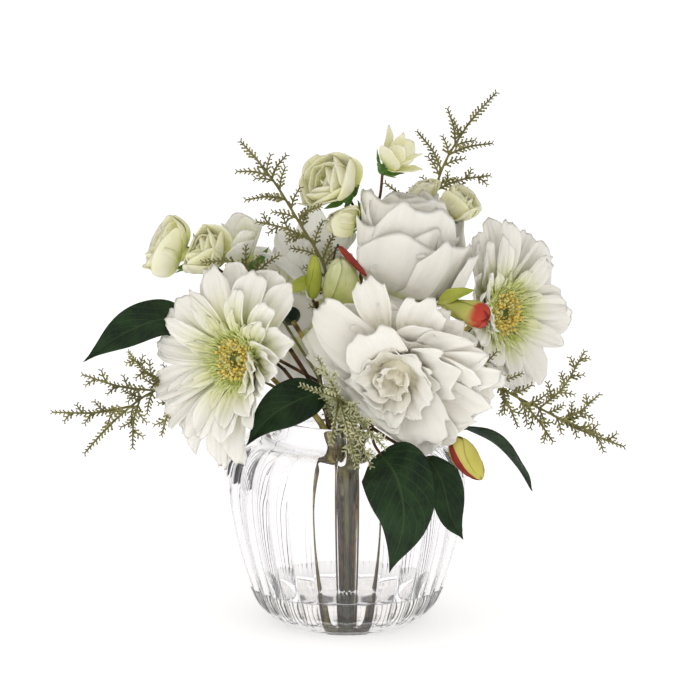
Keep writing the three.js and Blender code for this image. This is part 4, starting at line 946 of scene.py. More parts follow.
roseSprays = {
    "rose_spray_top": {"slot": (4.3, 120, 5), "trunk": [(5, 8, 170), (11, 9, 222)],
                       "heads": [("rose_large", []), ("rose_bud", []), ("rose_tip", [(18, 4, 240)])]},
    "rose_spray_left": {"slot": (4.3, 180, 9), "trunk": [(-40, 6, 166), (-66, 5, 196)],
                        "heads": [("rose_left", []), ("rose_far_left", []), ("rose_bell", [])]},
    "rose_spray_right": {"slot": (8.6, 42, 15), "trunk": [(24, 24, 160), (44, 28, 214)],
                         "heads": [("rose_right", []), ("rose_high", [])]},
}
for name, spray in roseSprays.items():
    parts = [stemPart(inBundle(spray["slot"]) + spray["trunk"], 1.4)]
    sepalsMade = []
    for head, via in spray["heads"]:
        rose = roses[head]
        parts.append(stemPart([spray["trunk"][-1], *via, below(rose, 0.45 * rose["size"])], 0.9, 12))
        sepalsMade.extend(sepalParts(rose, rose["size"]))
    stemPiece(name, parts, materials["brownStem"])
    makePiece(f"{name}Sepals", sepalsMade, materials["sepal"])
print("rose sprays made")


# Leaves, buds and their stems
leaves = {
    "farLeft": {"rib": [(-90, -4, 171), (-104, -8, 174), (-127, -14, 166), (-148, -14, 151)], "width": 27,
                "fold": 0.2, "wave": 1.5, "phase": 0.5, "facing": (-0.25, -0.75, 0.6)},
    "left": {"rib": [(-12, -33, 138), (-27, -41, 135), (-43, -46, 126), (-56, -50, 111)], "width": 26,
             "fold": 0.15, "wave": 1.2, "phase": 1.5, "facing": (-0.25, -0.9, 0.3)},
    "centre": {"rib": [(18, -56, 108.5), (27, -74, 99), (31, -82, 77), (23, -80, 46)], "width": 40,
               "fold": 0.22, "wave": 1.5, "phase": 2.5, "facing": (0.05, -0.95, 0.2)},
    "small": {"rib": [(44, -57, 107), (52, -68, 95), (57, -73, 76), (64, -72, 63)], "width": 21,
              "fold": 0.25, "wave": 1, "phase": 0.2, "facing": (0.35, -0.9, 0.2)},
    "right": {"rib": [(64, -32, 118), (82, -33, 109), (95, -31, 95), (104, -28, 80)], "width": 24,
              "fold": 0.3, "wave": 1.6, "phase": 3.5, "facing": (0.55, 0.25, 0.75)},
    "backLeft": {"rib": [(-44, 20, 148), (-62, 24, 155), (-82, 26, 150), (-98, 26, 134)], "width": 30,
                 "fold": 0.2, "wave": 1.5, "phase": 1, "facing": (-0.3, 0.8, 0.5)},
    "lime": {"rib": [(-16, -19, 191), (-22, -22, 197), (-29, -25, 195), (-36, -26, 188)], "width": 9,
             "fold": 0.3, "wave": 0.6, "phase": 2, "facing": (-0.1, -0.8, 0.6)},
    "flap": {"rib": [(50, -42, 190), (57, -47, 193.5), (64, -51, 197), (70, -54, 199.5)], "width": 10,
             "fold": 0.45, "wave": 0.9, "phase": 1, "facing": (0.1, -0.75, 0.65)},
    "back": {"rib": [(8, 50, 126), (14, 64, 127), (22, 77, 118), (28, 84, 100)], "width": 34,
             "fold": 0.2, "wave": 1.5, "phase": 4, "facing": (0.1, 0.9, 0.4)},
    "backRight": {"rib": [(50, 38, 144), (66, 48, 150), (82, 54, 148), (92, 56, 138)], "width": 28,
                  "fold": 0.2, "wave": 1.5, "phase": 5, "facing": (0.3, 0.7, 0.6)},
}


# A leaf along its rib: folded up along the middle, waved at the edges, with sunk veins
def leafPart(leaf, rows=34, columns=17):
    line = smoothLine(leaf["rib"], 60)
    slope = np.gradient(line, axis=0)
    facing = unit(leaf["facing"])
    at = np.linspace(0, 1, len(line))
    sideVeins, veinSweep = 9, 0.35

    def onLine(values, u):
        return np.stack([np.interp(u, at, values[:, k]) for k in range(3)], axis=-1)

    def surface(s, t):
        u = np.clip(s, 0, 1)
        along = onLine(slope, u)
        along /= np.linalg.norm(along, axis=-1, keepdims=True)
        side = np.cross(along, facing)
        side /= np.linalg.norm(side, axis=-1, keepdims=True)
        normal = np.cross(side, along)
        swell = np.maximum(np.sin(math.pi * u**0.75), 0) ** 0.8
        x = 0.5 * leaf["width"] * (0.06 + 0.94 * swell) * (1 - u**6) * t
        waved = leaf["wave"] * swell * t * t * np.sin(9 * u + 2 * t + leaf["phase"])
        vein = 0.35 * swell * np.cos(2 * math.pi * sideVeins * (u - veinSweep * np.abs(t)))
        vein *= (1 - np.abs(t) ** 3) * np.abs(t) ** 0.5
        midrib = 0.4 * np.exp(-((x / 1.2) ** 2))
        rise = np.sqrt(x * x + 1.2) * math.sin(leaf["fold"]) - midrib + waved + vein
        return onLine(line, u) + (x * math.cos(leaf["fold"]))[..., None] * side + rise[..., None] * normal

    return bladePart(surface, rows, columns, 0.7)


def petiolePart(leaf, points):
    root, after = (np.array(p, float) for p in leaf["rib"][:2])
    return stemPart([*points, tuple(root + 0.12 * (after - root))], 1.1, 18, 0.8)


# Outlines of a bud: shares of its radius and of its length
pointedBud = [
    (0, 0), (0.35, 0.03), (0.6, 0.1), (0.86, 0.22), (1, 0.38), (0.96, 0.52), (0.8, 0.7), (0.52, 0.85),
    (0.24, 0.95), (0, 1),
]
bluntBud = [
    (0, 0), (0.25, 0.03), (0.45, 0.12), (0.64, 0.3), (0.82, 0.5), (0.98, 0.68), (1, 0.78), (0.9, 0.88),
    (0.6, 0.96), (0, 1),
]
buds = {
    "bud_green": {
        "centre": (-3, -24, 179), "tip": (-3, -26, 213), "radius": 10.5, "petals": 5, "wave": 3.4,
        "material": "budGreen", "slot": "bud_lime"},
    "bud_slim": {
        "centre": (-19, -21, 188), "tip": (-18, -23, 214), "radius": 4.2, "petals": 3, "wave": 0.2,
        "material": "budSlim", "slot": "bud_lime"},
    "bud_red": {
        "centre": (52, -44, 189.5), "tip": (77, -60, 185), "radius": 7.2, "petals": 4, "wave": 1.5,
        "blunt": True, "material": "budRed", "slot": "bud_red"},
    "bud_low": {
        "centre": (58, -52, 116), "tip": (74, -67, 96), "radius": 7.2, "petals": 3, "wave": 0.9,
        "material": "budLow", "slot": "bud_lime", "redEdge": (163, 0.3)},
    "bract_red": {
        "centre": (-4.5, -26, 219), "tip": (11, -36, 203.5), "radius": 1.6, "petals": 2, "wave": 0.1,
        "material": "bract", "slot": "bud_red"},
}


# A closed bud: an inner body and petals that hug it, each over the edge of the next
def budParts(spec):
    start, end = np.array(spec["centre"], float), np.array(spec["tip"], float)
    length, radius = np.linalg.norm(end - start), spec["radius"]
    place = bloomFrame(start, end - start)
    outline = np.array(bluntBud if spec.get("blunt") else pointedBud)
    body = [(r * radius * 0.86, 0.3 + z * length * 0.97) for r, z in outline]
    parts = [turnedPart(body, 24, place)]
    heights = np.linspace(0, 1, 60)
    swell = np.interp(heights, outline[:, 1], outline[:, 0])

    def hugging(middleTurn, half, lift, phase):
        def surface(s, t):
            s = np.clip(s, 0, 1)
            up = s * (1 - 0.1 * np.abs(t) ** 3)
            turn = middleTurn + half * t * np.sin(math.pi / 2 * np.clip(0.25 + 1.2 * s, 0, 1)) + 0.9 * up
            rim = 0.25 + 0.75 * np.abs(t) ** 2
            out = radius * (np.interp(up, heights, swell) * (0.94 + 0.06 * t) + 0.02) + 0.2 + lift
            out = out + spec["wave"] * rim * up**2 * (0.5 + 0.5 * np.sin(5 * t + 7 * up + phase))
            shape = s.shape + (1,)
            flat = np.cos(turn).reshape(shape) * place["right"] + np.sin(turn).reshape(shape) * place["up"]
            return place["centre"] + out.reshape(shape) * flat + (up * length).reshape(shape) * place["axis"]

        return bladePart(surface, 18, 13, 0.5)

    count = spec["petals"]
    half = 1.25 * math.pi / count + 0.25
    parts += [hugging(2 * math.pi * k / count + 0.4, half, 0, 2 * k) for k in range(count)]
    edge = []
    if "redEdge" in spec:
        degrees, halfEdge = spec["redEdge"]
        edge.append(hugging(math.radians(degrees), halfEdge, 0.5, 1))
    return parts, edge


for name, spec in buds.items():
    body, edge = budParts(spec)
    makePiece(f"{name}Fine", body, materials[spec["material"]], [name])
    if edge:
        makePiece(f"{name}Red", edge, materials["bract"])


def budFoot(spec, drop):
    start, end = np.array(spec["centre"], float), np.array(spec["tip"], float)
    return tuple(start - unit(end - start) * drop)


budFork = (-8, -17, 166)
leafyStems = {
    "bud_stem": {
        "stems": [
            stemPart(inBundle((8.6, 242, 15)) + [(-6, -14, 140), budFork], 1.4),
            stemPart([budFork, (-5, -21, 173), budFoot(buds["bud_green"], 0.35)], 0.9, 10),
            stemPart([budFork, (-14, -19, 178), budFoot(buds["bud_slim"], 0.35)], 0.9, 10),
            stemPart([budFork, (-9, -11, 188), (-7, -13, 212), budFoot(buds["bract_red"], 0.7)], 0.7, 24),
            petiolePart(leaves["left"], [(-6.5, -13, 126), (-9, -24, 135)]),
        ],
        "leaves": ["left"]},
    "peony_front_stem": {
        "stems": [
            stemPart(inBundle((8.6, 302, 15)) + [(17, -20, 134), below(peonyFront, 10)], 1.6),
            coneUnder(peonyFront, 9, 7.35),
            petiolePart(leaves["centre"], [
                (8, -14.5, 113), (10, -27, 120), (13, -39, 119.5), (15, -49, 112)]),
            petiolePart(leaves["small"], [(13, -39, 119.5), (26, -46, 112.5)]),
        ],
        "leaves": ["centre", "small"]},
    "low_bud_stem": {
        "stems": [
            stemPart(inBundle((8.6, 332, 15)) + [
                (28, -22, 121), (42, -37, 117), budFoot(buds["bud_low"], 0.35)], 1.2),
            petiolePart(leaves["right"], [(33, -28, 120.5), (50, -33, 118)]),
        ],
        "leaves": ["right"]},
    "lily_stem": {
        "stems": [
            stemPart(inBundle((8.6, 136, 15)) + [(-16, 12, 140), below(lily, 5.6)], 1.6),
            petiolePart(leaves["farLeft"], [(-14.5, 11, 134), (-44, 2, 152), (-74, 0, 166)]),
        ],
        "leaves": ["farLeft"]},
    "leafy_stem_left": {
        "stems": [
            stemPart(inBundle((8.6, 163, 16)) + [(-25, 10, 128), (-36, 17, 141)], 1.2),
            petiolePart(leaves["backLeft"], [(-35.4, 16.6, 140.4)]),
        ],
        "leaves": ["backLeft"]},
    "leafy_stem_right": {
        "stems": [
            stemPart(inBundle((8.6, 70, 16)) + [(12, 26, 122), (24, 31, 128), (38, 34, 137)], 1.2),
            petiolePart(leaves["backRight"], [(37.5, 34, 136.7)]),
            petiolePart(leaves["back"], [(11.5, 25, 121.3), (9, 40, 125)]),
        ],
        "leaves": ["backRight", "back"]},
}
for name, plant in leafyStems.items():
    stemPiece(name, plant["stems"], materials["brownStem"])
    blades = [leafPart(leaves[key]) for key in plant["leaves"]]
    makePiece(f"{name}Leaves", blades, materials["leaf"])
smallBlades = [leafPart(leaves[key], 16, 11) for key in ("lime", "flap")]
makePiece("limeLeaf", smallBlades, materials["budSlim"])
topStem = [
    stemPart(inBundle((4.3, 300, 7)) + [(9, -6, 145), below(peonyTop, 8)], 1.6),
    coneUnder(peonyTop, 7.5, 5.35),
    stemPart([(14, -5, 160), (22, -16, 177), (38, -32, 187), budFoot(buds["bud_red"], 0.35)], 0.9, 24),
]
stemPiece("peony_top_stem", topStem, materials["stem"])
print("leaves, buds and stems made")


# Fern sprays: Geometry Nodes set needles on both sides of every frond
ferns = {
    "fern_top_left": {
        "slot": (4.3, 240, 9), "facing": (0, -1, 0.15),
        "trunk": [(-5, 1, 160), (-13, -8, 205), (-26, -7, 228), (-40, -6, 251), (-50, -5, 264)],
        "fronds": [(7, (-59, -4, 274)), (6.3, (-61, -8, 258)), (6.2, (-34, -2, 266)), (5.6, (-56, -8, 242)),
                   (5.1, (-15, -26, 241)), (4.6, (-50, -4, 229)), (4.1, (-2, -9, 229))]},
    "fern_top_right": {
        "slot": (4.3, 60, 9), "facing": (0, -1, 0.1),
        "trunk": [(20, 24, 165), (38, 40, 211), (47, 40, 232), (56, 38, 257), (68, 34, 278)],
        "fronds": [(7, (84, 30, 297)), (6.5, (57, 36, 287)), (6.2, (82, 32, 268)), (5.8, (40, 36, 274)),
                   (5.3, (81, 36, 249)), (4.5, (22, 40, 244))]},
    "fern_left": {
        "slot": (8.6, 188, 15), "facing": (0, -0.9, 0.4),
        "trunk": [(-34, -1, 130), (-62, 0, 142), (-93, -4, 138), (-113, -9, 131), (-130, -13, 118)],
        "fronds": [(7, (-147, -18, 100)), (6.5, (-165, -12, 122)), (5.7, (-148, -10, 143)),
                   (6.2, (-120, -22, 104)), (5.3, (-121, -35, 161)), (4.9, (-104, -16, 110))]},
    "fern_right": {
        "slot": (4.3, 0, 9), "facing": (0, -0.9, 0.4),
        "trunk": [(30, -6, 126), (52, -18, 146), (72, -27, 150), (90, -24, 136), (112, -16, 123),
                  (130, -10, 112)],
        "fronds": [(8, (156, -6, 101)), (7.5, (142, -2, 130)), (6.8, (134, 6, 153)), (7.2, (142, -18, 110)),
                   (6.3, (115, -24, 108)), (5.6, (95, -30, 118))]},
    "fern_centre": {
        "slot": (8.6, 272, 15), "facing": (-0.3, -0.9, -0.3), "tint": "paleFern",
        "branch": 0.85, "bareTo": 0.64, "gap": 0.6, "grow": 1.15,
        "trunk": [(-1, -24, 122), (-3, -40, 132), (-5, -56, 138), (-4, -70, 142)],
        "fronds": [(6, (-16, -76, 166)), (5.9, (5, -83, 107)), (5.7, (20, -89, 119)), (5.6, (-9, -76, 118)),
                   (5.8, (-25, -74, 150)), (5.8, (13, -87, 108))]},
    "fern_over_gerbera": {
        "slot": (0, 210, 9), "facing": (0, -0.95, 0.3), "bareTo": 0.8, "branch": 0.8,
        "trunk": [(-14, -6, 136), (-34, -14, 172), (-50, -22, 202), (-60, -24, 209)],
        "fronds": [(5, (-38, -22, 213)), (6, (-80, -21, 209)), (5.5, (-56, -21, 218))]},
}
comb = {
    "spacing": 2.3, "needle": 3.2, "width": 0.62, "sweep": 0.9, "knob": 0.76, "branch": 18, "gap": 12.5,
    "longFrond": 27, "steps": 120,
}


def itemMesh(name, places, radii, sides=5):
    points, faces, _ = tubePart(places, radii, sides)
    mesh = bpy.data.meshes.new(name)
    mesh.from_pydata((points * metre).tolist(), [], faces)
    mesh.polygons.foreach_set("use_smooth", [True] * len(mesh.polygons))
    return bpy.data.objects.new(name, mesh)


# One needle of a comb: out to the given side in Y, forward along +X, with a small round end
def needleMesh(name, handed):
    tip = unit((comb["sweep"], handed, 0.15)) * comb["needle"]
    width, knob = comb["width"], comb["knob"]
    return itemMesh(name, [tip * share for share in (0, 0.4, 0.76, 0.88, 1, 1.1)],
                    [width * 0.8, width, width * 0.75, knob, knob * 0.95, knob * 0.4])


# Two items in turn along a curve: X along it, Z toward Facing, sizes and turns a little off
def alongCurveTree():
    number, mostSize, swing = "NodeSocketFloat", 1.12, (1, 0.8, 0.7)
    tree, given, out = newGroup(
        "alongCurve",
        [("Geometry", "NodeSocketGeometry", None), ("Spacing", number, 0.003),
         ("Facing", "NodeSocketVector", None), ("Left Item", "NodeSocketObject", None),
         ("Right Item", "NodeSocketObject", None), ("Least Size", number, 0.78), ("Unrest", number, 0.2),
         ("Material", "NodeSocketMaterial", None), ("Seed", "NodeSocketInt", None)],
        [("Geometry", "NodeSocketGeometry")], "GeometryNodeTree",
    )
    link = tree.links.new
    sized = node(tree, "GeometryNodeCaptureAttribute")  # a point's radius is its item's size
    sized.capture_items.new("FLOAT", "Scale")
    link(given.outputs["Geometry"], sized.inputs[0])
    link(node(tree, "GeometryNodeInputRadius").outputs[0], sized.inputs[1])
    points = node(tree, "GeometryNodeCurveToPoints", mode="LENGTH")
    link(sized.outputs[0], points.inputs["Curve"])
    link(given.outputs["Spacing"], points.inputs["Length"])
    faceOn = node(tree, "FunctionNodeAlignRotationToVector", axis="Z")
    link(given.outputs["Facing"], faceOn.inputs["Vector"])
    along = node(tree, "FunctionNodeAlignRotationToVector", axis="X", pivot_axis="Z")
    link(faceOn.outputs[0], along.inputs["Rotation"])
    link(points.outputs["Tangent"], along.inputs["Vector"])
    joined = node(tree, "GeometryNodeJoinGeometry")
    for k, side in enumerate(("Left Item", "Right Item")):
        info = node(tree, "GeometryNodeObjectInfo")
        link(given.outputs[side], info.inputs["Object"])
        place = node(tree, "GeometryNodeInstanceOnPoints")
        link(points.outputs["Points"], place.inputs["Points"])
        link(info.outputs["Geometry"], place.inputs["Instance"])
        seed = math2(tree, "ADD", given.outputs["Seed"], k)
        size = node(tree, "FunctionNodeRandomValue", data_type="FLOAT")
        link(given.outputs["Least Size"], size.inputs[2])
        size.inputs[3].default_value = mostSize
        link(seed, size.inputs["Seed"])
        link(math2(tree, "MULTIPLY", size.outputs[1], sized.outputs[1]), place.inputs["Scale"])
        turn = node(tree, "FunctionNodeRandomValue", data_type="FLOAT_VECTOR")
        turn.inputs[0].default_value = [-most for most in swing]
        turn.inputs[1].default_value = swing
        link(seed, turn.inputs["Seed"])
        turned = node(tree, "ShaderNodeVectorMath", operation="SCALE")
        link(turn.outputs[0], turned.inputs[0])
        link(given.outputs["Unrest"], turned.inputs["Scale"])
        rotate = node(tree, "FunctionNodeRotateRotation", rotation_space="LOCAL")
        link(along.outputs[0], rotate.inputs[0])
        link(turned.outputs[0], rotate.inputs[1])
        link(rotate.outputs[0], place.inputs["Rotation"])
        link(place.outputs["Instances"], joined.inputs[0])
    real = node(tree, "GeometryNodeRealizeInstances")
    link(joined.outputs[0], real.inputs[0])
    paint = node(tree, "GeometryNodeSetMaterial")
    link(real.outputs[0], paint.inputs["Geometry"])
    link(given.outputs["Material"], paint.inputs["Material"])
    link(paint.outputs[0], out.inputs[0])
    return tree


leftNeedle, rightNeedle = needleMesh("needleLeft", 1), needleMesh("needleRight", -1)
alongCurve = alongCurveTree()


# Runs the tree on lines of points and item sizes, and keeps the result as a plain mesh
def itemsAlong(name, lines, values, replaced=(), closed=False):
    curve = bpy.data.curves.new(name, "CURVE")
    curve.dimensions = "3D"
    for points, sizes in lines:
        spline = curve.splines.new("POLY")
        spline.use_cyclic_u = closed
        spline.points.add(len(points) - 1)
        for point, at, size in zip(spline.points, points, np.broadcast_to(sizes, len(points))):
            point.co = (*(at * metre), 1)
            point.radius = size
    carrier = bpy.data.objects.new(name, curve)
    bpy.context.scene.collection.objects.link(carrier)
    modifier = carrier.modifiers.new("items", "NODES")
    modifier.node_group = alongCurve
    for item in alongCurve.interface.items_tree:
        if item.in_out == "INPUT" and item.name in values:
            modifier[item.identifier] = values[item.name]
    bpy.context.view_layer.update()
    evaluated = carrier.evaluated_get(bpy.context.evaluated_depsgraph_get())
    mesh = bpy.data.meshes.new_from_object(evaluated)
    bpy.data.objects.remove(carrier)  # the modifier goes with it
    keepPiece(name, mesh, replaced)


# A frond's line: it leaves along the stem and bends out to its tip
def bentRun(foot, tip, tangent):
    reach = np.linalg.norm(tip - foot)
    return smoothLine([foot, foot + 0.4 * (tip - foot) + tangent * 0.08 * reach, tip], 14)


# Short fronds off both sides of a line in turn, smaller towards its tip
def sideRuns(line, start, gap, length, facing, draw):
    steps = np.linalg.norm(np.diff(line, axis=0), axis=1)
    along = np.concatenate([[0], np.cumsum(steps)])
    runs, at, handed = [], along[-1] * start, 1
    while at < along[-1] - 0.45 * gap:
        foot = np.array([np.interp(at, along, line[:, k]) for k in range(3)])
        ahead = np.array([np.interp(at + 1, along, line[:, k]) for k in range(3)])
        tangent = unit(ahead - foot)
        side = unit(np.cross(facing, tangent)) * handed
        share = (at / along[-1] - start) / max(1 - start, 1e-6)
        reach = length * (1 - 0.45 * share) * (0.85 + 0.3 * draw())
        lean = math.radians(48 + 10 * draw() - 8 * share)
        out = tangent * math.cos(lean) + side * math.sin(lean) + facing * (0.25 * draw() - 0.1)
        runs.append(bentRun(foot, foot + out * reach, tangent))
        at += 0.5 * gap * (0.9 + 0.2 * draw())
        handed = -handed
    return runs


def fernPiece(name, spray, seed):
    steps = comb["steps"]
    trunk = inBundle(spray["slot"]) + spray["trunk"]
    line = smoothLine(trunk, steps)
    facing = unit(spray["facing"])
    draw = seededDraw(500 + seed)
    thick, thin = [], []
    for start, tip in spray["fronds"]:
        at = round(start / (len(trunk) - 1) * steps)
        tangent = unit(line[min(at + 1, steps)] - line[max(at - 1, 0)])
        thick.append(bentRun(line[at], np.array(tip, float), tangent))
        if np.linalg.norm(line[at] - tip) > comb["longFrond"]:
            thin += sideRuns(thick[-1], 0.2, comb["gap"], 0.5 * comb["branch"], facing, draw)
    gap, branch = comb["gap"] * spray.get("gap", 1), comb["branch"] * spray.get("branch", 1)
    thin += sideRuns(line, spray.get("bareTo", 0.62), gap, branch, facing, draw)
    parts = [tubePart(line, np.linspace(1.15, 0.6, len(line)), 7)]
    parts += [tubePart(run, np.linspace(0.7, 0.45, len(run)), 6) for run in thick]
    parts += [tubePart(run, np.linspace(0.55, 0.4, len(run)), 5) for run in thin]
    makePiece(f"{name}Stem", parts, materials["fern"], [name])
    ribs = []
    for run in [*thick, *thin, line[round(0.93 * steps):]]:
        ends = run[2:] if len(run) > 6 else run
        ribs.append((ends, spray.get("grow", 1) * np.linspace(1.02, 0.57, len(ends))))
    itemsAlong(f"{name}Needles", ribs, {
        "Spacing": comb["spacing"] * metre, "Facing": tuple(map(float, facing)), "Left Item": leftNeedle,
        "Right Item": rightNeedle, "Material": materials[spray.get("tint", "fernTip")], "Seed": seed,
    }, [name])


for seed, (name, spray) in enumerate(ferns.items()):
    fernPiece(name, spray, 10 * seed)
print("ferns made")


# Gerbera eyes: rows of small pointed florets round a loose ring of knobbed stamens, set by the same nodes
florets = [
    itemMesh("floretOut", [(0, 0, 0), (0, -1.6, 2.0), (0.3, -4.4, 3.4)], [0.5, 0.46, 0.12], 4),
    itemMesh("floretUp", [(0, 0, 0), (0, -0.5, 2.2), (-0.2, -1.9, 4.4)], [0.5, 0.42, 0.12], 4),
]
stamens = [
    itemMesh("stamenIn", [(0, 0, 0), (0, 0.9, 2.6), (0.1, 1.1, 3.2), (0.2, 1.2, 4.2)],
             [0.4, 0.36, 0.85, 0.5]),
    itemMesh("stamenOut", [(0, 0, 0), (0, -1.2, 2.4), (0, -1.5, 2.9), (-0.2, -2.1, 3.7)],
             [0.4, 0.36, 0.9, 0.5]),
]
# A row is its radius, its height over the petals' middle and the size of its items
eyeItems = {
    "fringe": {
        "items": florets, "spacing": 1.7, "leastSize": 0.6, "unrest": 0.3, "material": "fringe",
        "slot": "floret_green", "node": "eye",
        "rows": [(10.6, 1.8, 0.8), (12.0, 2.0, 1.0), (13.4, 2.2, 1.2), (14.6, 2.0, 1.45)]},
    "stamensFine": {
        "items": stamens, "spacing": 2.3, "leastSize": 0.5, "unrest": 0.45, "material": "stamen",
        "slot": "stamen_yellow", "node": "stamens",
        "rows": [(4.0, 0.9, 0.75), (5.8, 1.6, 0.95), (7.6, 2.0, 1.05), (9.6, 2.0, 1.15)]},
}


def eyeCircles(place, rows):
    turns = np.linspace(0, 2 * math.pi, 49)[:-1]
    ring = np.cos(turns)[:, None] * place["right"] + np.sin(turns)[:, None] * place["up"]
    return [(place["centre"] + ring * radius + place["axis"] * height, size) for radius, height, size in rows]


def makeEye(name, bloom, seed):
    place = bloomFrame(bloom["centre"], bloom["facing"])
    rim = [(5.2, 0.5), (11.6, 0.5), (14.2, 2.4), (11.4, 2.8), (8, 2.5), (5.2, 1.6), (5.2, 0.5)]
    hollow = [(0, -1.5), (5.4, -1.2), (5.4, 1.2), (3.4, 1.0), (2.6, 0.2), (0, -0.4)]
    disc, hole = turnedPart(rim, 40, place), turnedPart(hollow, 24, place)
    makePiece(f"{name}_eyeFine", [disc], materials["fringe"], [f"{name}_eye"])
    makePiece(f"{name}_eyeHole", [hole], materials["eyeHole"])
    for kind, spec in eyeItems.items():
        left, right = spec["items"]
        itemsAlong(f"{name}_{kind}", eyeCircles(place, spec["rows"]), {
            "Spacing": spec["spacing"] * metre, "Facing": tuple(map(float, place["axis"])),
            "Left Item": left, "Right Item": right, "Least Size": spec["leastSize"],
            "Unrest": spec["unrest"], "Material": materials[spec["material"]], "Seed": seed,
        }, [f"{name}_{spec['node']}"], closed=True)


for seed, (name, bloom) in enumerate(gerberas.items()):
    makeEye(name, bloom, 70 + seed)
print("eyes made")


# The vase: ribs from the collar down to the foot, smooth inside, in one thick wall
vase = {
    "ribs": 32, "ribDepth": 1.5, "ribSharpness": 0.75, "ribFoot": 2, "ribTop": 107, "floor": 6,
    "outer": [(39.4, 0), (50.5, 10), (60, 33), (67, 59), (69.2, 79), (66.4, 96), (58.5, 104.7),
              (44, 109), (39.6, 116.5)],
    "rim": [(39.3, 117.3), (38.2, 117.6), (37.2, 117.3)],
    "inner": [(36.8, 116.5), (40.6, 106.4), (56.6, 101.8), (63.4, 94), (66, 79), (56.6, 33),
              (47, 12), (30, 6.5)],
}


def smoothProfile(points, count):
    line = smoothLine([(r, 0, z) for r, z in points], count)
    return [(float(p[0]), float(p[2])) for p in line]


def makeVase():
    outer = smoothProfile(vase["outer"], 52)
    inner = smoothProfile(vase["inner"], 40)
    segments = 384
    underside = [(0, 0.8), (30, 0.6), (36, 0.0)]
    floor = [(15, vase["floor"] + 0.2), (0, vase["floor"])]
    ribbed = slice(1 + (len(underside) - 1) * segments, 1 + (len(underside) + len(outer) - 1) * segments)

    # Hollows between the ribs, which fade out at the foot and under the collar
    def cutRibs(points):
        radius = np.hypot(points[:, 0], points[:, 1])
        turn = np.arctan2(points[:, 1], points[:, 0])
        height = points[:, 2]
        onOuter = np.zeros(len(points), bool)
        onOuter[ribbed] = True
        fade = np.clip((height - vase["ribFoot"]) / 10, 0, 1) * np.clip((vase["ribTop"] - height) / 8, 0, 1)
        crest = np.abs(np.cos(0.5 * vase["ribs"] * turn)) ** vase["ribSharpness"]
        depth = vase["ribDepth"] * fade * (1 - crest)
        points[:, :2] *= np.where(onOuter, 1 - depth / np.maximum(radius, 1), 1)[:, None]
        return points

    part = turnedPart([*underside, *outer, *vase["rim"], *inner, *floor], segments, bend=cutRibs)
    makePiece("vaseFine", [part], materials["glass"], ["vase"])


# The resin reaches a little into the glass, so that no air shows between them
def makeResin():
    top, low, into = resin["top"], resin["wallFrom"], resin["intoGlass"]
    inner = [(r + into, z) for r, z in smoothProfile(vase["inner"], 56) if low < z < top]
    wall = sorted(inner, key=lambda p: p[1])
    edge = wall[-1][0]
    profile = [(0, 5.9), (29, 6.3), *wall, (edge + 0.2, top - 0.3), (edge - 0.4, top), (0, top)]
    makePiece("waterFine", [turnedPart(profile, 128)], materials["resin"], ["water"])


makeVase()
makeResin()
print("vase made")


# Floor, light and camera
studio = {
    "targetMm": (-3.9, 0, 161), "elevation": 11, "distance": 2.2, "lens": 207.05,
    "floorColour": (0.8, 0.8, 0.805), "floorGlow": 0.6, "world": 1.05, "ambient": 0.6,
    "worldColour": (1, 0.972, 0.925), "cardColour": (0.03, 0.03, 0.035), "lightsAim": (0, 0, 0.16),
}
lights = {
    "topSoftbox": {"place": (0.1, -0.5, 1.7), "size": (1.4, 1.2), "power": 2.6},
    "leftSoftbox": {"place": (-1.5, -0.9, 0.8), "size": (0.9, 1.2), "power": 2.4},
    "rightSoftbox": {"place": (1.6, -0.5, 0.9), "size": (0.9, 1.2), "power": 1},
    "frontFill": {"place": (0.15, -2.1, 0.8), "size": (1.6, 1.3), "power": 3.5, "hidden": ["glossy"]},
    "lowFill": {"place": (-0.3, -1.7, 0.12), "size": (1.6, 0.2), "power": 3,
                "hidden": ["glossy", "transmission"]},
}


def stagePiece(name, corners, material):
    mesh = bpy.data.meshes.new(name)
    mesh.from_pydata(corners, [], [(0, 1, 2, 3)])
    mesh.materials.append(material)
    piece = bpy.data.objects.new(name, mesh)
    bpy.context.scene.collection.objects.link(piece)
    return piece


def makeFloor():
    material, _, shader = startMaterial("paleFloor", 0.8)
    shader.inputs["Base Color"].default_value = opaque(studio["floorColour"])
    shader.inputs["Emission Color"].default_value = (1, 1, 1, 1)
    shader.inputs["Emission Strength"].default_value = studio["floorGlow"]
    half = 12
    corners = [(-half, -half, 0), (half, -half, 0), (half, half, 0), (-half, half, 0)]
    stagePiece("paleFloor", corners, material)


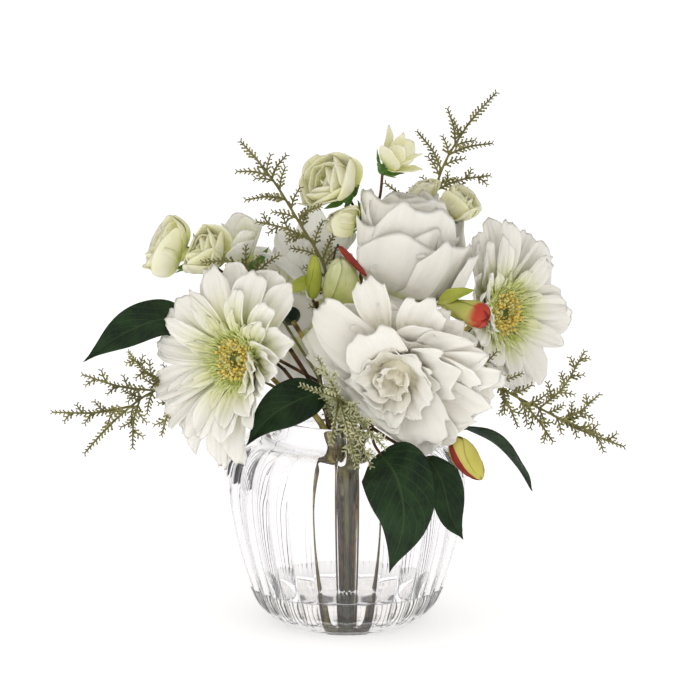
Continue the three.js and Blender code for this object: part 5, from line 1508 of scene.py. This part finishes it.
# Dark cards beside and above the set, seen only in reflections and through the glass: they draw its edges
def makeCards():
    material, _, shader = startMaterial("darkCard", 0.9)
    shader.inputs["Base Color"].default_value = opaque(studio["cardColour"])
    cards = []
    for x in (-0.48, 0.48):
        cards.append([(x, -0.1, 0.01), (0.62 * x, 0.55, 0.01), (0.62 * x, 0.55, 0.46), (x, -0.1, 0.46)])
    cards.append([(-0.5, 0.75, 0.7), (0.5, 0.75, 0.7), (0.5, 0.9, 0.95), (-0.5, 0.9, 0.95)])
    for corners in cards:
        card = stagePiece("darkCard", corners, material)
        card.visible_camera = card.visible_diffuse = card.visible_shadow = False


def areaLight(name, spec):
    light = bpy.data.lights.new(name, "AREA")
    light.shape = "RECTANGLE"
    light.size, light.size_y = spec["size"]
    light.energy = spec["power"]
    lamp = bpy.data.objects.new(name, light)
    lamp.location = spec["place"]
    aim = Vector(studio["lightsAim"]) - Vector(spec["place"])
    lamp.rotation_euler = aim.to_track_quat("-Z", "Y").to_euler()
    for rays in spec.get("hidden", []):
        setattr(lamp, f"visible_{rays}", False)
    bpy.context.scene.collection.objects.link(lamp)


# The camera and the glass see a white world, and the blooms get a softer light from it
def makeWorld():
    world = bpy.data.worlds.new("softWhite")
    world.use_nodes = True
    tree = world.node_tree
    sky = tree.nodes["Background"]
    sky.inputs[0].default_value = opaque(studio["worldColour"])
    rays = node(tree, "ShaderNodeLightPath")
    seen = math2(tree, "MAXIMUM", rays.outputs["Is Camera Ray"], rays.outputs["Is Singular Ray"])
    extra = math2(tree, "MULTIPLY", seen, studio["world"] - studio["ambient"])
    tree.links.new(math2(tree, "ADD", studio["ambient"], extra), sky.inputs[1])
    bpy.context.scene.world = world


def makeCamera():
    view = bpy.data.cameras.new("camera")
    view.sensor_width = 36
    view.lens = studio["lens"]
    view.clip_end = 20
    camera = bpy.data.objects.new("camera", view)
    tilt = math.radians(studio["elevation"])
    target = Vector(studio["targetMm"]) * metre
    camera.location = target + studio["distance"] * Vector((0, -math.cos(tilt), math.sin(tilt)))
    camera.rotation_euler = (target - camera.location).to_track_quat("-Z", "Y").to_euler()
    bpy.context.scene.collection.objects.link(camera)
    bpy.context.scene.camera = camera
    bpy.context.scene.view_settings.view_transform = "Standard"


makeFloor()
makeCards()
for name, spec in lights.items():
    areaLight(name, spec)
makeWorld()
makeCamera()
print("studio made")
